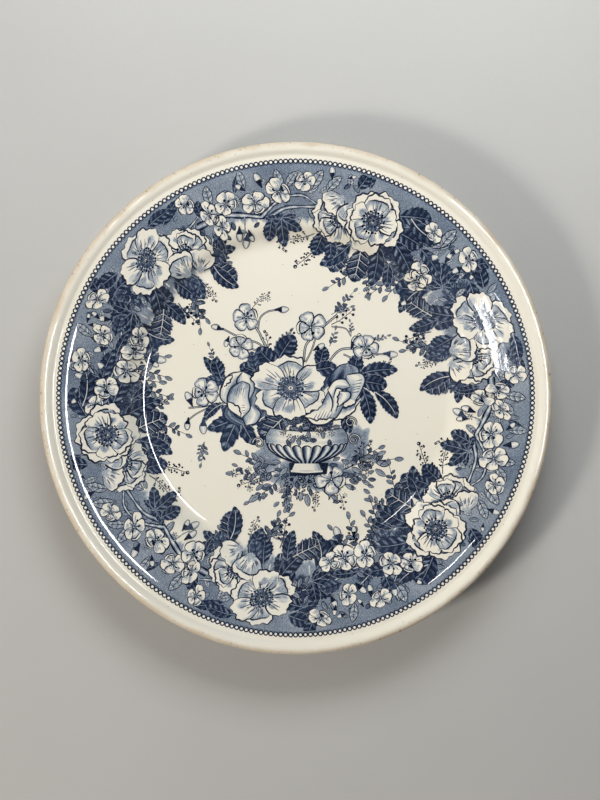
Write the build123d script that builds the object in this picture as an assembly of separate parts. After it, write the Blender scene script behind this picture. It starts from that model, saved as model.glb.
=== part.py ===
from build123d import *
import os

# A ten inch transfer-printed earthenware dinner plate, lying face up on its foot ring.
#
# The plate is built in the order in which a pottery makes it:
#   1. clay_body           one biscuit-fired body with flange, shoulder, well and foot ring
#   2. border_print_1..3   three strips of printed border that meet end to end on the flange
#      centre_print        one printed bouquet in the middle of the well
#   3. front_glaze         the clear glaze that seals the prints in, over the whole face
#      back_glaze          the glaze over the underside, from the lip in to the foot ring
#      base_glaze          the glaze inside the foot ring
# The foot ring's own contact face is wiped dry before firing, so the clay stands on the table.
#
# Frame: millimetres, +Z up, origin on the table at the centre of the foot ring. +Y is the top of
# the bouquet and +X its right.

# ---- driving dimensions ---------------------------------------------------------------------
plate_diameter = 254.0  # ten inches over the lip
plate_height = 20.8  # table to the crest of the lip
well_floor_z = 7.0  # the flat surface that the food lies on
base_underside_z = 2.2  # underneath the well, inside the foot ring
glaze_thickness = 0.30
print_thickness = 0.10
foot_outer_r, foot_inner_r = 73.2, 69.8  # corners of the foot ring's contact face

# ---- print layout -----------------------------------------------------------------------------
border_strips = 3
border_inner_r = 80.5
border_outer_r = 118.6  # outside of the bead line
strip_gap_deg = 0.25  # the hair's breadth between two strips of tissue
first_joint_deg = 45.0  # where the first strip starts, anticlockwise from +X

plate_r = plate_diameter / 2
foot_dry_z = 1.5 * glaze_thickness  # glaze stops this far above the table
past_axis = 10.0  # outlines run this far past the axis, so that an offset stays true at r = 0
clear_z = 60.0  # well above everything

# ---- outline of the glazed plate --------------------------------------------------------------
# Corners (radius from the axis, height) and the round at each one. The face comes first, from the
# centre outwards, and then the back, from the lip inwards.
face_corners = [
    ((79.0, well_floor_z), 13.0),  # well floor turns up into the shoulder
    ((86.2, 12.4), 12.0),  # shoulder turns out into the flange
    ((114.2, 18.5), 22.0),  # flange lifts evenly towards its edge
    ((120.6, 19.0), 2.6),  # and lies flatter under the bead line, as a shallow groove
    ((123.2, plate_height), 2.6),  # crest of the rolled lip
    ((plate_r, plate_height), 2.2),  # outer edge, upper round
]
back_corners = [
    ((plate_r, 16.9), 2.1),  # outer edge, lower round
    ((119.5, 14.6), 10.0),  # underside of the lip
    ((88.6, 8.0), 12.0),  # underside of the flange
    ((82.3, 3.2), 8.0),  # underside of the shoulder
    ((74.6, 2.6), 1.0),  # root of the foot ring, outside
    ((foot_outer_r, 0.0), 1.0),
    ((foot_inner_r, 0.0), 1.0),
    ((68.2, base_underside_z), 1.2),  # root of the foot ring, inside
]

# The print lies on the face only. This line runs through the middle of the wall, and what is
# above it belongs to the face.
mid_wall = [(0.0, 4.6), (76.0, 4.6), (86.0, 9.6), (113.0, 16.0), (120.0, 16.9), (126.0, 18.7)]
lip_split_z = 18.8  # the face's glaze meets the back's glaze here, round the outer edge

# Outline of the bouquet, seen from above: (x, y) of points on one closed curve.
bouquet_outline = [
    (-2.0, 52.0),
    (20.0, 55.0),
    (44.0, 36.0),
    (50.0, 16.0),
    (57.0, -4.0),
    (38.0, -16.0),
    (52.0, -31.0),
    (36.0, -46.0),
    (6.0, -58.0),
    (-24.0, -50.0),
    (-40.0, -38.0),
    (-34.0, -22.0),
    (-58.0, -8.0),
    (-54.0, 16.0),
    (-40.0, 40.0),
    (-22.0, 47.0),
]


def radial_face(*corners):
    """A flat face in the XZ plane, from (radius, height) corners."""
    return make_face(Plane.XZ * Polyline(*corners, close=True))


def plate_section():
    """The section of the whole glazed plate, running a little past the axis."""
    corners = face_corners + back_corners
    path = FilletPolyline(
        (-past_axis, well_floor_z),
        *[corner for corner, _ in corners],
        (-past_axis, base_underside_z),
        radius=[round_r for _, round_r in corners],
    )
    return make_face(Plane.XZ * (path + Line(path @ 1, path @ 0)))


def one_side(face):
    """Keeps what lies at r >= 0, ready to be turned about the axis."""
    return face & radial_face((0, -1), (plate_r + 1, -1), (plate_r + 1, clear_z), (0, clear_z))


def turned(face, start_deg=0.0, arc_deg=360.0):
    """Turns a section about the plate's axis, from start_deg anticlockwise."""
    return Rot(0, 0, start_deg) * revolve(face, axis=Axis.Z, revolution_arc=arc_deg)


def band(inner_r, outer_r):
    """The part of the section over the middle of the wall, between two radii."""
    above_wall = radial_face(*mid_wall, (plate_r + 1, clear_z), (0, clear_z))
    return above_wall & radial_face((inner_r, 0), (outer_r, 0), (outer_r, clear_z), (inner_r, clear_z))


section = plate_section()
under_glaze = offset(section, amount=-glaze_thickness)
over_print = offset(section, amount=-(glaze_thickness - print_thickness))


def make_clay_body():
    """The biscuit body: everything under the glaze, with the dry foot carried down to the table."""
    inner, outer = foot_inner_r - 2, foot_outer_r + 2
    dry_foot = section & radial_face((inner, 0), (outer, 0), (outer, foot_dry_z), (inner, foot_dry_z))
    return turned(one_side(under_glaze) + dry_foot)


def make_border_strip(number):
    """One strip of the printed border, lying on the clay under the glaze."""
    film = (over_print - under_glaze) & band(border_inner_r, border_outer_r)
    pitch = 360.0 / border_strips
    start = first_joint_deg + pitch * number + strip_gap_deg / 2
    return turned(film, start, pitch - strip_gap_deg)


def make_centre_print():
    """The printed bouquet, a flat film on the clay in the middle of the well."""
    clay_z = well_floor_z - glaze_thickness
    outline = make_face(Spline(*bouquet_outline, periodic=True))
    return extrude(Pos(0, 0, clay_z) * outline, amount=print_thickness)


def make_glazes(clay_body, prints):
    """The three skins of glaze: what is left of the plate outside the clay and the prints."""
    skin = turned(one_side(section)) - clay_body
    for film in prints:
        skin -= film
    upwards = (Align.CENTER, Align.CENTER, Align.MIN)
    face_side = Pos(0, 0, lip_split_z) * Cylinder(plate_r + 2, clear_z, align=upwards)
    face_side += turned(radial_face(*mid_wall, (plate_r - 1, clear_z), (0, clear_z)))
    foot_middle_r = (foot_inner_r + foot_outer_r) / 2
    inside_foot = Pos(0, 0, -1) * Cylinder(foot_middle_r, base_underside_z + 2, align=upwards)
    front = skin & face_side
    base = skin & inside_foot
    back = skin - face_side - inside_foot
    return {"front_glaze": front, "back_glaze": back, "base_glaze": base}


def build():
    """Every node of the plate, by name."""
    nodes = {"clay_body": make_clay_body()}
    for number in range(border_strips):
        nodes[f"border_print_{number + 1}"] = make_border_strip(number)
    nodes["centre_print"] = make_centre_print()
    prints = [shape for name, shape in nodes.items() if name.endswith("print") or "print_" in name]
    nodes.update(make_glazes(nodes["clay_body"], prints))
    return nodes


os.makedirs("parts", exist_ok=True)
for name, shape in build().items():
    export_step(shape, f"parts/{name}.step")
    print(name, "solids", len(shape.solids()), "volume", round(shape.volume, 1), "mm3")
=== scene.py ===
# %% [markdown]
# # A blue printed dinner plate
# A transfer-printed plate is four things: a fired clay body, an inked pattern laid on it from thin
# tissue, a clear glaze over both, and fifty years of use. The CAD frame holds the first three as
# solids. Here the body's glazed face is made again with a smoother section and small knocks in its
# edge, and the pattern is drawn leaf by leaf, because the flat films of the CAD only say where it lies.
# Everything is drawn in millimetres, and made metres when it is laid on the plate. The underside and
# the foot keep the CAD's shape, and only get their finishes.

import math
import random

import bpy
import numpy as np
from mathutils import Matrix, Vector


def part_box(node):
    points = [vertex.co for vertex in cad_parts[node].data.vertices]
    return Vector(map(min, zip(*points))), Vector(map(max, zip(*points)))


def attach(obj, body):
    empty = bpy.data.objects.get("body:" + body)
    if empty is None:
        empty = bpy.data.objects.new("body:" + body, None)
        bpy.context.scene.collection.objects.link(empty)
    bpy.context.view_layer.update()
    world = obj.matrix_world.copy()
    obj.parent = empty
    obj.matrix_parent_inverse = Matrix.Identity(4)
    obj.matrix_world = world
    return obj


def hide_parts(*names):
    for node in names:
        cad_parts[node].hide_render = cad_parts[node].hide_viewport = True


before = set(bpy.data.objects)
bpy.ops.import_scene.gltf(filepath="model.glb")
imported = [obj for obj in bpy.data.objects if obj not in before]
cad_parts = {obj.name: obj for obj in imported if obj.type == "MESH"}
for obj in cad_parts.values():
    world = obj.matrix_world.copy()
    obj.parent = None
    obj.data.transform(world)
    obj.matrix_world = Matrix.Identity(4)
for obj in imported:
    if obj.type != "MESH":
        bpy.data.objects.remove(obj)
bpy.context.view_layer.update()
MM = 0.001

# %% [markdown]
# ## The section of the face
# A plate is turned, so one line from the middle to the lip describes its whole face. It could be a
# Bezier curve with handles, but a plate's maker thinks in corners and rounds, as on the profile tool
# that scrapes the clay: so the line is a few corners, each with a round. The lip's reach and height
# are read from the frame, so the new face is exactly as large as the CAD one.

# %% Corners of the face, from the middle outwards: radius, height, round
GLAZE = 0.3  # mm, the thickness of the glaze
lip_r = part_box("front_glaze")[1][0] / MM
lip_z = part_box("front_glaze")[1][2] / MM
back_top_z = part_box("back_glaze")[1][2] / MM
floor_z = (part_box("centre_print")[0][2] / MM) + GLAZE
FACE_CORNERS = [
    (79.0, floor_z, 13.0),  # the floor of the well turns up
    (86.2, 12.4, 12.0),  # the shoulder turns out
    (100.2, 15.2, 620.0),  # the flange sags a little
    (114.2, 18.5, 22.0),  # the flange lies flatter
    (120.6, 19.0, 2.6),  # a shallow groove
    (123.2, lip_z, 4.5),  # up to the rolled lip
    (lip_r, lip_z, 2.2),  # over the edge
]
print("lip at", round(lip_r, 2), "mm, height", round(lip_z, 2), "mm, glazes meet at", round(back_top_z, 2))


# %% A line with rounded corners
def rounded_line(start, corners, end, flatness=0.003):
    """Points on a line through the corners, with an arc at each one, true to 0.003 mm."""
    stops = [start] + [corner[:2] for corner in corners] + [end]
    line = [np.array(start, float)]
    for before, corner, after, (_, _, round_r) in zip(stops, stops[1:], stops[2:], corners):
        corner = np.array(corner, float)
        back = np.array(before) - corner
        ahead = np.array(after) - corner
        back /= np.linalg.norm(back)
        ahead /= np.linalg.norm(ahead)
        half = math.acos(float(np.clip(back @ ahead, -1, 1))) / 2
        middle = corner + (back + ahead) / np.linalg.norm(back + ahead) * round_r / math.sin(half)
        first = corner + back * round_r / math.tan(half) - middle
        sweep = math.pi - 2 * half
        side = math.copysign(1.0, first[0] * ahead[1] - first[1] * ahead[0])
        count = max(2, math.ceil(sweep / (2 * math.acos(1 - flatness / round_r))))
        for step in range(count + 1):
            a = side * sweep * step / count
            turned = (
                first[0] * math.cos(a) - first[1] * math.sin(a),
                first[0] * math.sin(a) + first[1] * math.cos(a),
            )
            line.append(middle + turned)
    line.append(np.array(end, float))
    return np.array(line)


face_line = rounded_line((0, floor_z), FACE_CORNERS, (lip_r, back_top_z))
print("the face's line has", len(face_line), "points")


# %% Height and slope of the face at any radius
over_edge = int(np.argmax(face_line[:, 0] > lip_r - 1.2))
plan_r, plan_z = face_line[:over_edge, 0], face_line[:over_edge, 1]


def face_height(r):
    return np.interp(r, plan_r, plan_z)


def face_slope(r, reach=0.15):
    return (face_height(r + reach) - face_height(np.maximum(r - reach, 0))) / (reach + np.minimum(r, reach))


print("height at 60, 90 and 118 mm:", [round(float(face_height(r)), 2) for r in (60, 90, 118)])

# %% [markdown]
# ## The face
# On the wheel this is one turn of the profile tool. The Screw modifier or a stack of scaled circles
# would do, but Spin is the same thing as the wheel: a line of edges turned about the axis. The line
# goes out along the face and comes back a glaze's thickness lower, so the face is a closed shell. Old
# plates have small nicks in the lip, where other plates were slid over them, so the outermost points
# are pushed in at a few places. A Boolean would cut them too, but with sharp rims that no glaze has.


# %% Deselecting, and a mesh from points
def clear_selection():
    """Operators act on everything selected, and the CAD nodes arrive selected."""
    if bpy.context.object and bpy.context.object.mode != "OBJECT":
        bpy.ops.object.mode_set(mode="OBJECT")
    bpy.ops.object.select_all(action="DESELECT")


def object_from(name, points, edges=(), faces=()):
    """A new object at the origin, selected and active, with its points already in place."""
    mesh = bpy.data.meshes.new(name)
    mesh.from_pydata(points, edges, faces)
    piece = bpy.data.objects.new(name, mesh)
    bpy.context.collection.objects.link(piece)
    clear_selection()
    piece.select_set(True)
    bpy.context.view_layer.objects.active = piece
    return piece


# %% The nicks
NICKS = [  # clockwise degrees from the top, width and depth in mm
    (6.5, 1.6, 0.30),
    (9.5, 1.1, 0.22),
    (31.0, 1.4, 0.22),
    (127.0, 1.8, 0.25),
    (139.0, 1.3, 0.2),
    (221.0, 2.4, 0.45),
    (225.0, 1.5, 0.3),
    (262.0, 1.5, 0.3),
    (318.5, 1.3, 0.25),
    (335.0, 1.2, 0.2),
]
NICK_REACH = 1.6  # mm of the lip that a nick can take
print(len(NICKS), "nicks, the deepest", max(deep for _, _, deep in NICKS), "mm")


# %% Spinning the face
def spun_face(steps=720):
    """The glazed face as a closed shell, turned from its section."""
    along = np.gradient(face_line, axis=0)
    along /= np.linalg.norm(along, axis=1)[:, None]
    inside = face_line + np.column_stack([along[:, 1], -along[:, 0]]) * GLAZE
    inside[0], inside[-1] = (0, floor_z - GLAZE), (lip_r - GLAZE, back_top_z)
    inside = inside[::-1][::2] if len(inside) % 2 else np.vstack([inside[::-1][::2], inside[:1]])
    section = np.vstack([face_line, inside])
    points = [(r * MM, 0.0, z * MM) for r, z in section]
    piece = object_from("face_glaze", points, [(i, i + 1) for i in range(len(points) - 1)])
    bpy.ops.object.mode_set(mode="EDIT")
    bpy.ops.mesh.select_all(action="SELECT")
    bpy.ops.mesh.spin(steps=steps, angle=math.tau, center=(0, 0, 0), axis=(0, 0, 1))
    bpy.ops.mesh.select_all(action="SELECT")
    bpy.ops.mesh.remove_doubles(threshold=0.002 * MM)
    bpy.ops.mesh.normals_make_consistent(inside=False)
    bpy.ops.object.mode_set(mode="OBJECT")
    highest = max(piece.data.polygons, key=lambda polygon: polygon.center.z)
    if highest.normal.z < 0:  # on a shell this thin the operator can take the inner side for the outer
        piece.data.flip_normals()
    return piece


# %% Knocking the edge
def knock_edge(piece):
    """Pushes small nicks into the outermost part of the lip."""
    co = np.empty(len(piece.data.vertices) * 3)
    piece.data.vertices.foreach_get("co", co)
    co = co.reshape(-1, 3)
    r = np.hypot(co[:, 0], co[:, 1])
    heading = np.degrees(np.arctan2(co[:, 0], co[:, 1]))
    depth = np.zeros(len(co))
    for place, width, deep in NICKS:
        off = (heading - place + 180) % 360 - 180
        depth += deep * MM * np.exp(-((np.radians(off) * lip_r / width * 2) ** 2))
    # a hand-finished edge is never quite round either
    depth += 0.05 * MM * (np.sin(np.radians(heading * 3 + 40)) + 0.6 * np.sin(np.radians(heading * 7)))
    near_edge = np.clip((r / MM - (lip_r - NICK_REACH)) / NICK_REACH, 0, 1) ** 1.5
    co[:, :2] *= (1 - depth * near_edge / np.maximum(r, MM))[:, None]
    piece.data.vertices.foreach_set("co", co.ravel())
    piece.data.update()


face = spun_face()
knock_edge(face)
bpy.ops.object.shade_smooth_by_angle(angle=math.radians(35))
top_up = max(face.data.polygons, key=lambda polygon: polygon.center.z).normal.z > 0
print("face:", len(face.data.polygons), "faces, the top one looks", "up" if top_up else "down")

# %% [markdown]
# ## Drawing with patches
# A painted image would be the quick way to a print, but it would be a file beside the script, and it
# would blur close up. The engraver cut the pattern as shapes with dark outlines, filled with finer or
# denser strokes. So a motif here is a stack of patches, like paper cut-outs: each patch is a small
# grid of points, and each point says how much ink lies there, from 0 for bare cream to 1 for solid
# blue. Two more values say how strongly engraved strokes show, and which way they run. One material
# turns these into colour. A motif is drawn once, and every copy on the plate gets its own points.


# %% Lines and ribbons
def flow(points, step=0.8):
    """A smooth line through a few given points, cut into even steps."""
    points = np.array(points, float)
    padded = np.vstack([2 * points[0] - points[1], points, 2 * points[-1] - points[-2]])
    t = np.linspace(0, 1, 14, endpoint=False)[:, None]
    pieces = []
    for a, b, c, d in zip(padded, padded[1:], padded[2:], padded[3:]):
        cubic = 2 * b + (c - a) * t + (2 * a - 5 * b + 4 * c - d) * t**2 + (3 * b - a - 3 * c + d) * t**3
        pieces.append(cubic / 2)
    fine = np.vstack(pieces + [points[-1:]])
    run = np.concatenate([[0], np.cumsum(np.linalg.norm(np.diff(fine, axis=0), axis=1))])
    even = np.linspace(0, run[-1], max(3, round(run[-1] / step) + 1))
    return np.column_stack([np.interp(even, run, fine[:, 0]), np.interp(even, run, fine[:, 1])])


def sides(line):
    """The direction to the right of a line, at each of its points."""
    along = np.gradient(line, axis=0)
    along /= np.maximum(np.linalg.norm(along, axis=1), 1e-9)[:, None]
    return np.column_stack([along[:, 1], -along[:, 0]])


def ribbon(line, width, columns=2):
    """A grid that follows a line, with a width that may change along it."""
    across = np.linspace(-0.5, 0.5, columns)
    width = np.broadcast_to(width, len(line))
    return line[:, None] + sides(line)[:, None] * (across[None, :] * width[:, None])[..., None]


def taper(count, thick, thin=0.12, both_ends=True):
    """Widths of a pen stroke: thin where it ends, thick in between."""
    u = np.linspace(0, 1, count)
    return thin + (thick - thin) * (np.sin(np.pi * u) ** 0.7 if both_ends else (1 - u) ** 0.8)


def smooth_step(low, high, value):
    t = np.clip((value - low) / (high - low), 0, 1)
    return t * t * (3 - 2 * t)


# %% A motif
class Motif:
    """Patches of ink, drawn flat. Each patch lies on a level of the stack of paper-thin films."""

    def __init__(self):
        self.points, self.ink, self.strokes, self.grain, self.level, self.faces = [], [], [], [], [], []
        self.count = 0

    def patch(self, grid, ink, level=0.0, strokes=0.0):
        """Adds a grid of points of shape rows x columns x 2, with ink as one value or a grid."""
        rows, columns = grid.shape[:2]
        number = self.count + np.arange(rows * columns).reshape(rows, columns)
        corners = [number[:-1, :-1], number[:-1, 1:], number[1:, 1:], number[1:, :-1]]
        self.faces.append(np.stack(corners, -1).reshape(-1, 4))
        self.points.append(grid.reshape(-1, 2))
        self.ink.append(np.broadcast_to(ink, (rows, columns)).ravel())
        self.strokes.append(np.full(rows * columns, float(strokes)))
        along = np.linalg.norm(np.diff(grid, axis=0), axis=2).mean() * np.arange(rows)
        over = np.linalg.norm(np.diff(grid, axis=1), axis=2).mean() * np.arange(columns)
        self.grain.append(np.stack(np.meshgrid(along, over, indexing="ij"), -1).reshape(-1, 2))
        self.level.append(np.full(rows * columns, float(level)))
        self.count += rows * columns
        return self

    def line(self, line, width, ink=0.95, level=0.0):
        """One pen stroke."""
        return self.patch(ribbon(line, width), ink, level)

    def dot(self, x, y, r, ink=0.95, level=0.0, points=9, squash=1.0):
        """A round dot, as a fan with a centre."""
        a = np.linspace(0, math.tau, points)
        ring = np.column_stack([np.sin(a), np.cos(a) * squash])
        return self.patch(np.stack([ring * r * 0.02, ring * r]) + (x, y), ink, level)

    def add(self, other, x=0.0, y=0.0, turn=0.0, size=1.0, squash=1.0, level=0.0):
        """Adds a copy of another motif: scaled, squashed across, turned clockwise and moved."""
        a = math.radians(turn)
        scale = np.array([size * squash, size])
        rotate = np.array([[math.cos(a), -math.sin(a)], [math.sin(a), math.cos(a)]])
        self.faces += [face + self.count for face in other.faces]
        self.points += [(p * scale) @ rotate + (x, y) for p in other.points]
        self.ink += other.ink
        self.strokes += other.strokes
        self.grain += [g * size for g in other.grain]
        self.level += [v + level for v in other.level]
        self.count += other.count
        return self

    def gathered(self):
        """All patches as one array of each kind."""
        parts = (self.points, self.ink, self.strokes, self.grain, self.level, self.faces)
        return [np.concatenate(part) for part in parts]


# %% Laying a motif on the plate
FILM = 0.0026  # mm between two levels, where the face is flat
FIRST_LEVEL = 8  # the lowest film lies this many levels above the glaze
CURVED = (70.0, 73.5, 90.0, 93.0)  # mm: between these the face curves, and the films need more room
MORE_ROOM = 1.7  # how much more, as a share
BEAD_LINE_R = 117.4  # mm, to the middle of the beads
GROUND_OUTER_R = 116.4  # mm, where the blue ground ends


def lay(motif, name, trim):
    """Lays flat artwork on the face of the plate, cut off at a radius, and makes it a piece."""
    points, ink, strokes, grain, level, faces = motif.gathered()
    r = np.hypot(points[:, 0], points[:, 1])
    faces = faces[(r[faces] < trim).any(axis=1)]
    points = points * np.minimum(1, trim / np.maximum(r, 1e-6))[:, None]
    r = np.minimum(r, trim)
    slope = face_slope(r)
    tilt = -slope[:, None] * points / np.maximum(r, 1)[:, None]
    normal = np.column_stack([tilt, np.ones(len(r))])
    normal /= np.linalg.norm(normal, axis=1)[:, None]
    film = FILM * (1 + MORE_ROOM * smooth_step(*CURVED[:2], r) * (1 - smooth_step(*CURVED[2:], r)))
    place = np.column_stack([points, face_height(r)]) + normal * ((level + FIRST_LEVEL) * film)[:, None]
    corner = points[faces]
    first = corner[:, 2] - corner[:, 0]
    second = corner[:, 3] - corner[:, 1]
    turned_over = first[:, 0] * second[:, 1] - first[:, 1] * second[:, 0] < 0
    faces[turned_over] = faces[turned_over][:, ::-1]
    piece = object_from(name, (place * MM).tolist(), faces=faces.tolist())
    mesh = piece.data
    for kind, values in (("ink", ink), ("strokes", strokes)):
        mesh.attributes.new(kind, "FLOAT", "POINT").data.foreach_set("value", values.astype(np.float32))
    loop_points = np.empty(len(mesh.loops), dtype=np.int32)
    mesh.loops.foreach_get("vertex_index", loop_points)
    mesh.uv_layers.new(name="grain").data.foreach_set("uv", grain[loop_points].ravel().astype(np.float32))
    mesh.shade_smooth()
    mesh.normals_split_custom_set_from_vertices(normal.tolist())
    print(f"{name}: {len(faces)} faces")
    return piece


# %% [markdown]
# ## The flowers
# Two kinds of big blossom carry the border: one open, seen into its cup, and one turned, seen from its
# side. Both are fans of petals. A petal could be a bent plane with a texture, but what makes it look
# engraved is its line: so it is a patch that widens from its foot and ends in a waved rim, it is shaded
# in its folds, and it gets a dark outline. Some rims roll over, which the engraver shows with a second
# wavy line.


# %% The shape of a petal
def petal_shape(turn, length, span, wavy, cells, phases):
    """A petal's grid, and its shares u outwards and v across, from -1 at one side to 1 at the other."""
    rows, columns = cells
    a, b, c = phases
    u = np.linspace(0.06, 1, rows)[:, None]
    v = np.linspace(-1, 1, columns)[None, :]
    wave = wavy * (0.036 * np.sin(2.6 * np.pi * v + a) + 0.028 * np.sin(5.6 * np.pi * v + b))
    reach = length * (u * (1 - 0.07 * v**2 - 0.24 * v**6) + wave * u**3)
    heading = math.radians(turn) + math.radians(span) * v * (0.80 + 0.24 * np.sin(np.pi * u * 0.8))
    heading = heading + 0.05 * np.sin(4 * u + c)
    return u, v, np.stack([reach * np.sin(heading), reach * np.cos(heading)], -1)


# %% The shading of a petal
def petal_tone(rng, u, v, shade, rim, shady_side, phases):
    """A pool of shadow, one flank turned away and a dark foot, with light streaks through all of it."""
    a, b, c = phases
    pool_u, pool_v, pool_wide = rng.uniform(0.50, 0.66), rng.uniform(-0.5, 0.5), rng.uniform(0.22, 0.45)
    away = np.hypot((u - pool_u) / 0.15, (v - pool_v - 0.2 * np.sin(6 * u + a)) / pool_wide)
    tone = shade * (1 - smooth_step(0.70, 1.05, away))
    flank = smooth_step(0.38, 0.62, shady_side * v + 0.18 * np.sin(7 * u + b)) * smooth_step(0.2, 0.45, u)
    tone = np.maximum(tone, 0.9 * shade * flank * (1 - smooth_step(0.84, 0.94, u)))
    tone = np.maximum(tone, shade * (1 - smooth_step(0.30, 0.44, u + 0.05 * np.sin(9 * v + c))))
    tone = tone * (1 - 0.6 * smooth_step(0.45, 0.9, np.sin(8.0 * v + c)) * smooth_step(0.15, 0.35, u))
    edge = np.maximum(smooth_step(0.78, 0.93, u), smooth_step(0.62, 0.85, np.abs(v)))
    return np.maximum(tone, rim * edge)


# %% A petal with its lines
def petal(
    motif, rng, turn, length, span, level,
    shade=0.5, rolled=False, cells=(17, 19), pen=0.74, creases=4, rim=0.0, wavy=1.0,
):
    """A petal that points to `turn` degrees clockwise from up, with its foot at the middle."""
    rows, columns = cells
    phases = [rng.uniform(0, math.tau) for _ in range(3)]
    shady_side = rng.choice((-1, 1))
    u, v, grid = petal_shape(turn, length, span, wavy, cells, phases)
    tone = petal_tone(rng, u, v, shade, rim, shady_side, phases)
    if rolled:
        brim = 0.80 + 0.03 * np.sin(5 * v + phases[2])
        tone = np.maximum(tone, 0.95 * shade * smooth_step(brim - 0.26, brim - 0.04, u))
        tone = np.where(u > brim, 0.02, tone)
    motif.patch(grid, tone, level, strokes=0.35)

    edge = np.vstack([grid[rows // 4 :, 0], grid[-1, 1:-1], grid[rows // 4 :, -1][::-1]])
    edge = flow(edge, 0.6)
    swell = 0.80 + 0.42 * np.sin(np.linspace(0, 9.4, len(edge)) + phases[0])
    motif.line(edge, pen * swell, 0.92, level + 1)
    for _ in range(creases):
        column = rng.randrange(columns // 5, columns - columns // 5)
        inner = rng.randrange(rows // 3, rows // 2)
        outer = rng.randrange(int(rows * 0.62), int(rows * 0.9))
        crease = flow(grid[inner:outer, column], 0.7)
        width = taper(len(crease), pen * 0.85, 0.14, rng.random() < 0.5)
        motif.line(crease, width, rng.choice((0.82, 0.6)), level + 1)
    if rolled:
        keep = slice(columns // 9, columns - columns // 9)
        lip = flow((grid * (brim / u)[..., None])[rows // 2, keep], 0.6)
        motif.line(lip, taper(len(lip), pen * 1.15), 0.94, level + 1)


# %% The open blossom
def stamens(motif, rng, r, level):
    """The dark eye of a blossom: seeds on stalks, in three rings round a pale heart."""
    a = np.linspace(0, math.tau, 49)
    rim = 1 + 0.09 * np.sin(a * 11 + 1) + 0.06 * np.sin(a * 17)
    rings = [r * k * (rim if k > 0.5 else 1) for k in (0.02, 0.28, 0.55, 0.80, 0.94)]
    grid = np.stack([np.column_stack([ring * np.sin(a), ring * np.cos(a)]) for ring in rings])
    tones = np.array([0.30, 0.45, 0.66, 0.68, 0.60])[:, None] + 0.10 * np.sin(a * 13)[None]
    motif.patch(grid, tones, level, strokes=0.5)
    for count, share, size, ink in ((16, 0.50, 0.40, 0.98), (15, 0.74, 0.34, 0.08), (22, 0.98, 0.62, 0.98)):
        for number in range(count):
            heading = math.tau * (number + rng.uniform(-0.25, 0.25)) / count
            out = np.array([math.sin(heading), math.cos(heading)])
            x, y = out * r * share * rng.uniform(0.90, 1.12)
            if share > 0.9:
                motif.line(np.linspace(r * 0.28, r * 0.9, 4)[:, None] * out, 0.34, 0.92, level + 1)
            motif.dot(x, y, size * rng.uniform(0.8, 1.1), ink, level + 1 + share, 7)
    for share, ink in ((0.24, 0.92), (0.18, 0.08), (0.08, 0.95)):
        motif.dot(0, 0, r * share, ink, level + 3 - share, 13)


def open_blossom(seed, r=15.0, outer=5, inner=4, inner_share=0.76):
    """A blossom seen into its cup."""
    rng = random.Random(seed)
    motif = Motif()
    for ring, (count, length) in enumerate(((outer, 1.0), (inner, inner_share))):
        order = list(range(0, count, 2)) + list(range(1, count, 2))
        for step, number in enumerate(order):
            turn = 360 * (number + 0.5 * ring) / count + rng.uniform(-8, 8) + seed * 17
            reach = r * length * rng.uniform(0.92, 1.07)
            span = 215 / count * rng.uniform(1.0, 1.15)
            shade = 0.40 if ring else 0.38
            rolled = (number + ring) % 2 == 0
            petal(motif, rng, turn, reach, span, 2 * (step + ring * outer), shade, rolled, creases=7)
    stamens(motif, rng, r * 0.36, 2 * (outer + inner))
    return motif


# %% The turned blossom
BACK_PETALS = [(-98, 0.98), (96, 1.02), (-60, 0.92), (58, 0.95), (-2, 0.88), (28, 0.78)]  # turn, size


def turned_blossom(seed, r=14.5):
    """A blossom seen from its side: petals behind, half an eye, and two petals that close the cup."""
    rng = random.Random(seed)
    motif = Motif()
    for step, (turn, share) in enumerate(BACK_PETALS):
        petal(motif, rng, turn, r * share, 38, 2 * step, 0.34, rolled=step % 2 == 1, creases=6)
    stamens(motif, rng, r * 0.30, 12)
    for step, (x, turn, share, span) in enumerate(((3.0, 30, 0.86, 50), (-2.0, -22, 0.98, 52))):
        front = Motif()
        petal(front, rng, turn, r * share, span, 0, 0.30, rolled=step == 1, creases=9)
        motif.add(front, x, -r * 0.84, level=18 + 3 * step)
    return motif


OPEN = [open_blossom(3, 16.5, 6, 0), open_blossom(8, inner=5, inner_share=0.84)]
TURNED = [turned_blossom(4), turned_blossom(12)]
print("open blossom:", OPEN[0].count, "points, turned blossom:", TURNED[0].count)
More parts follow.
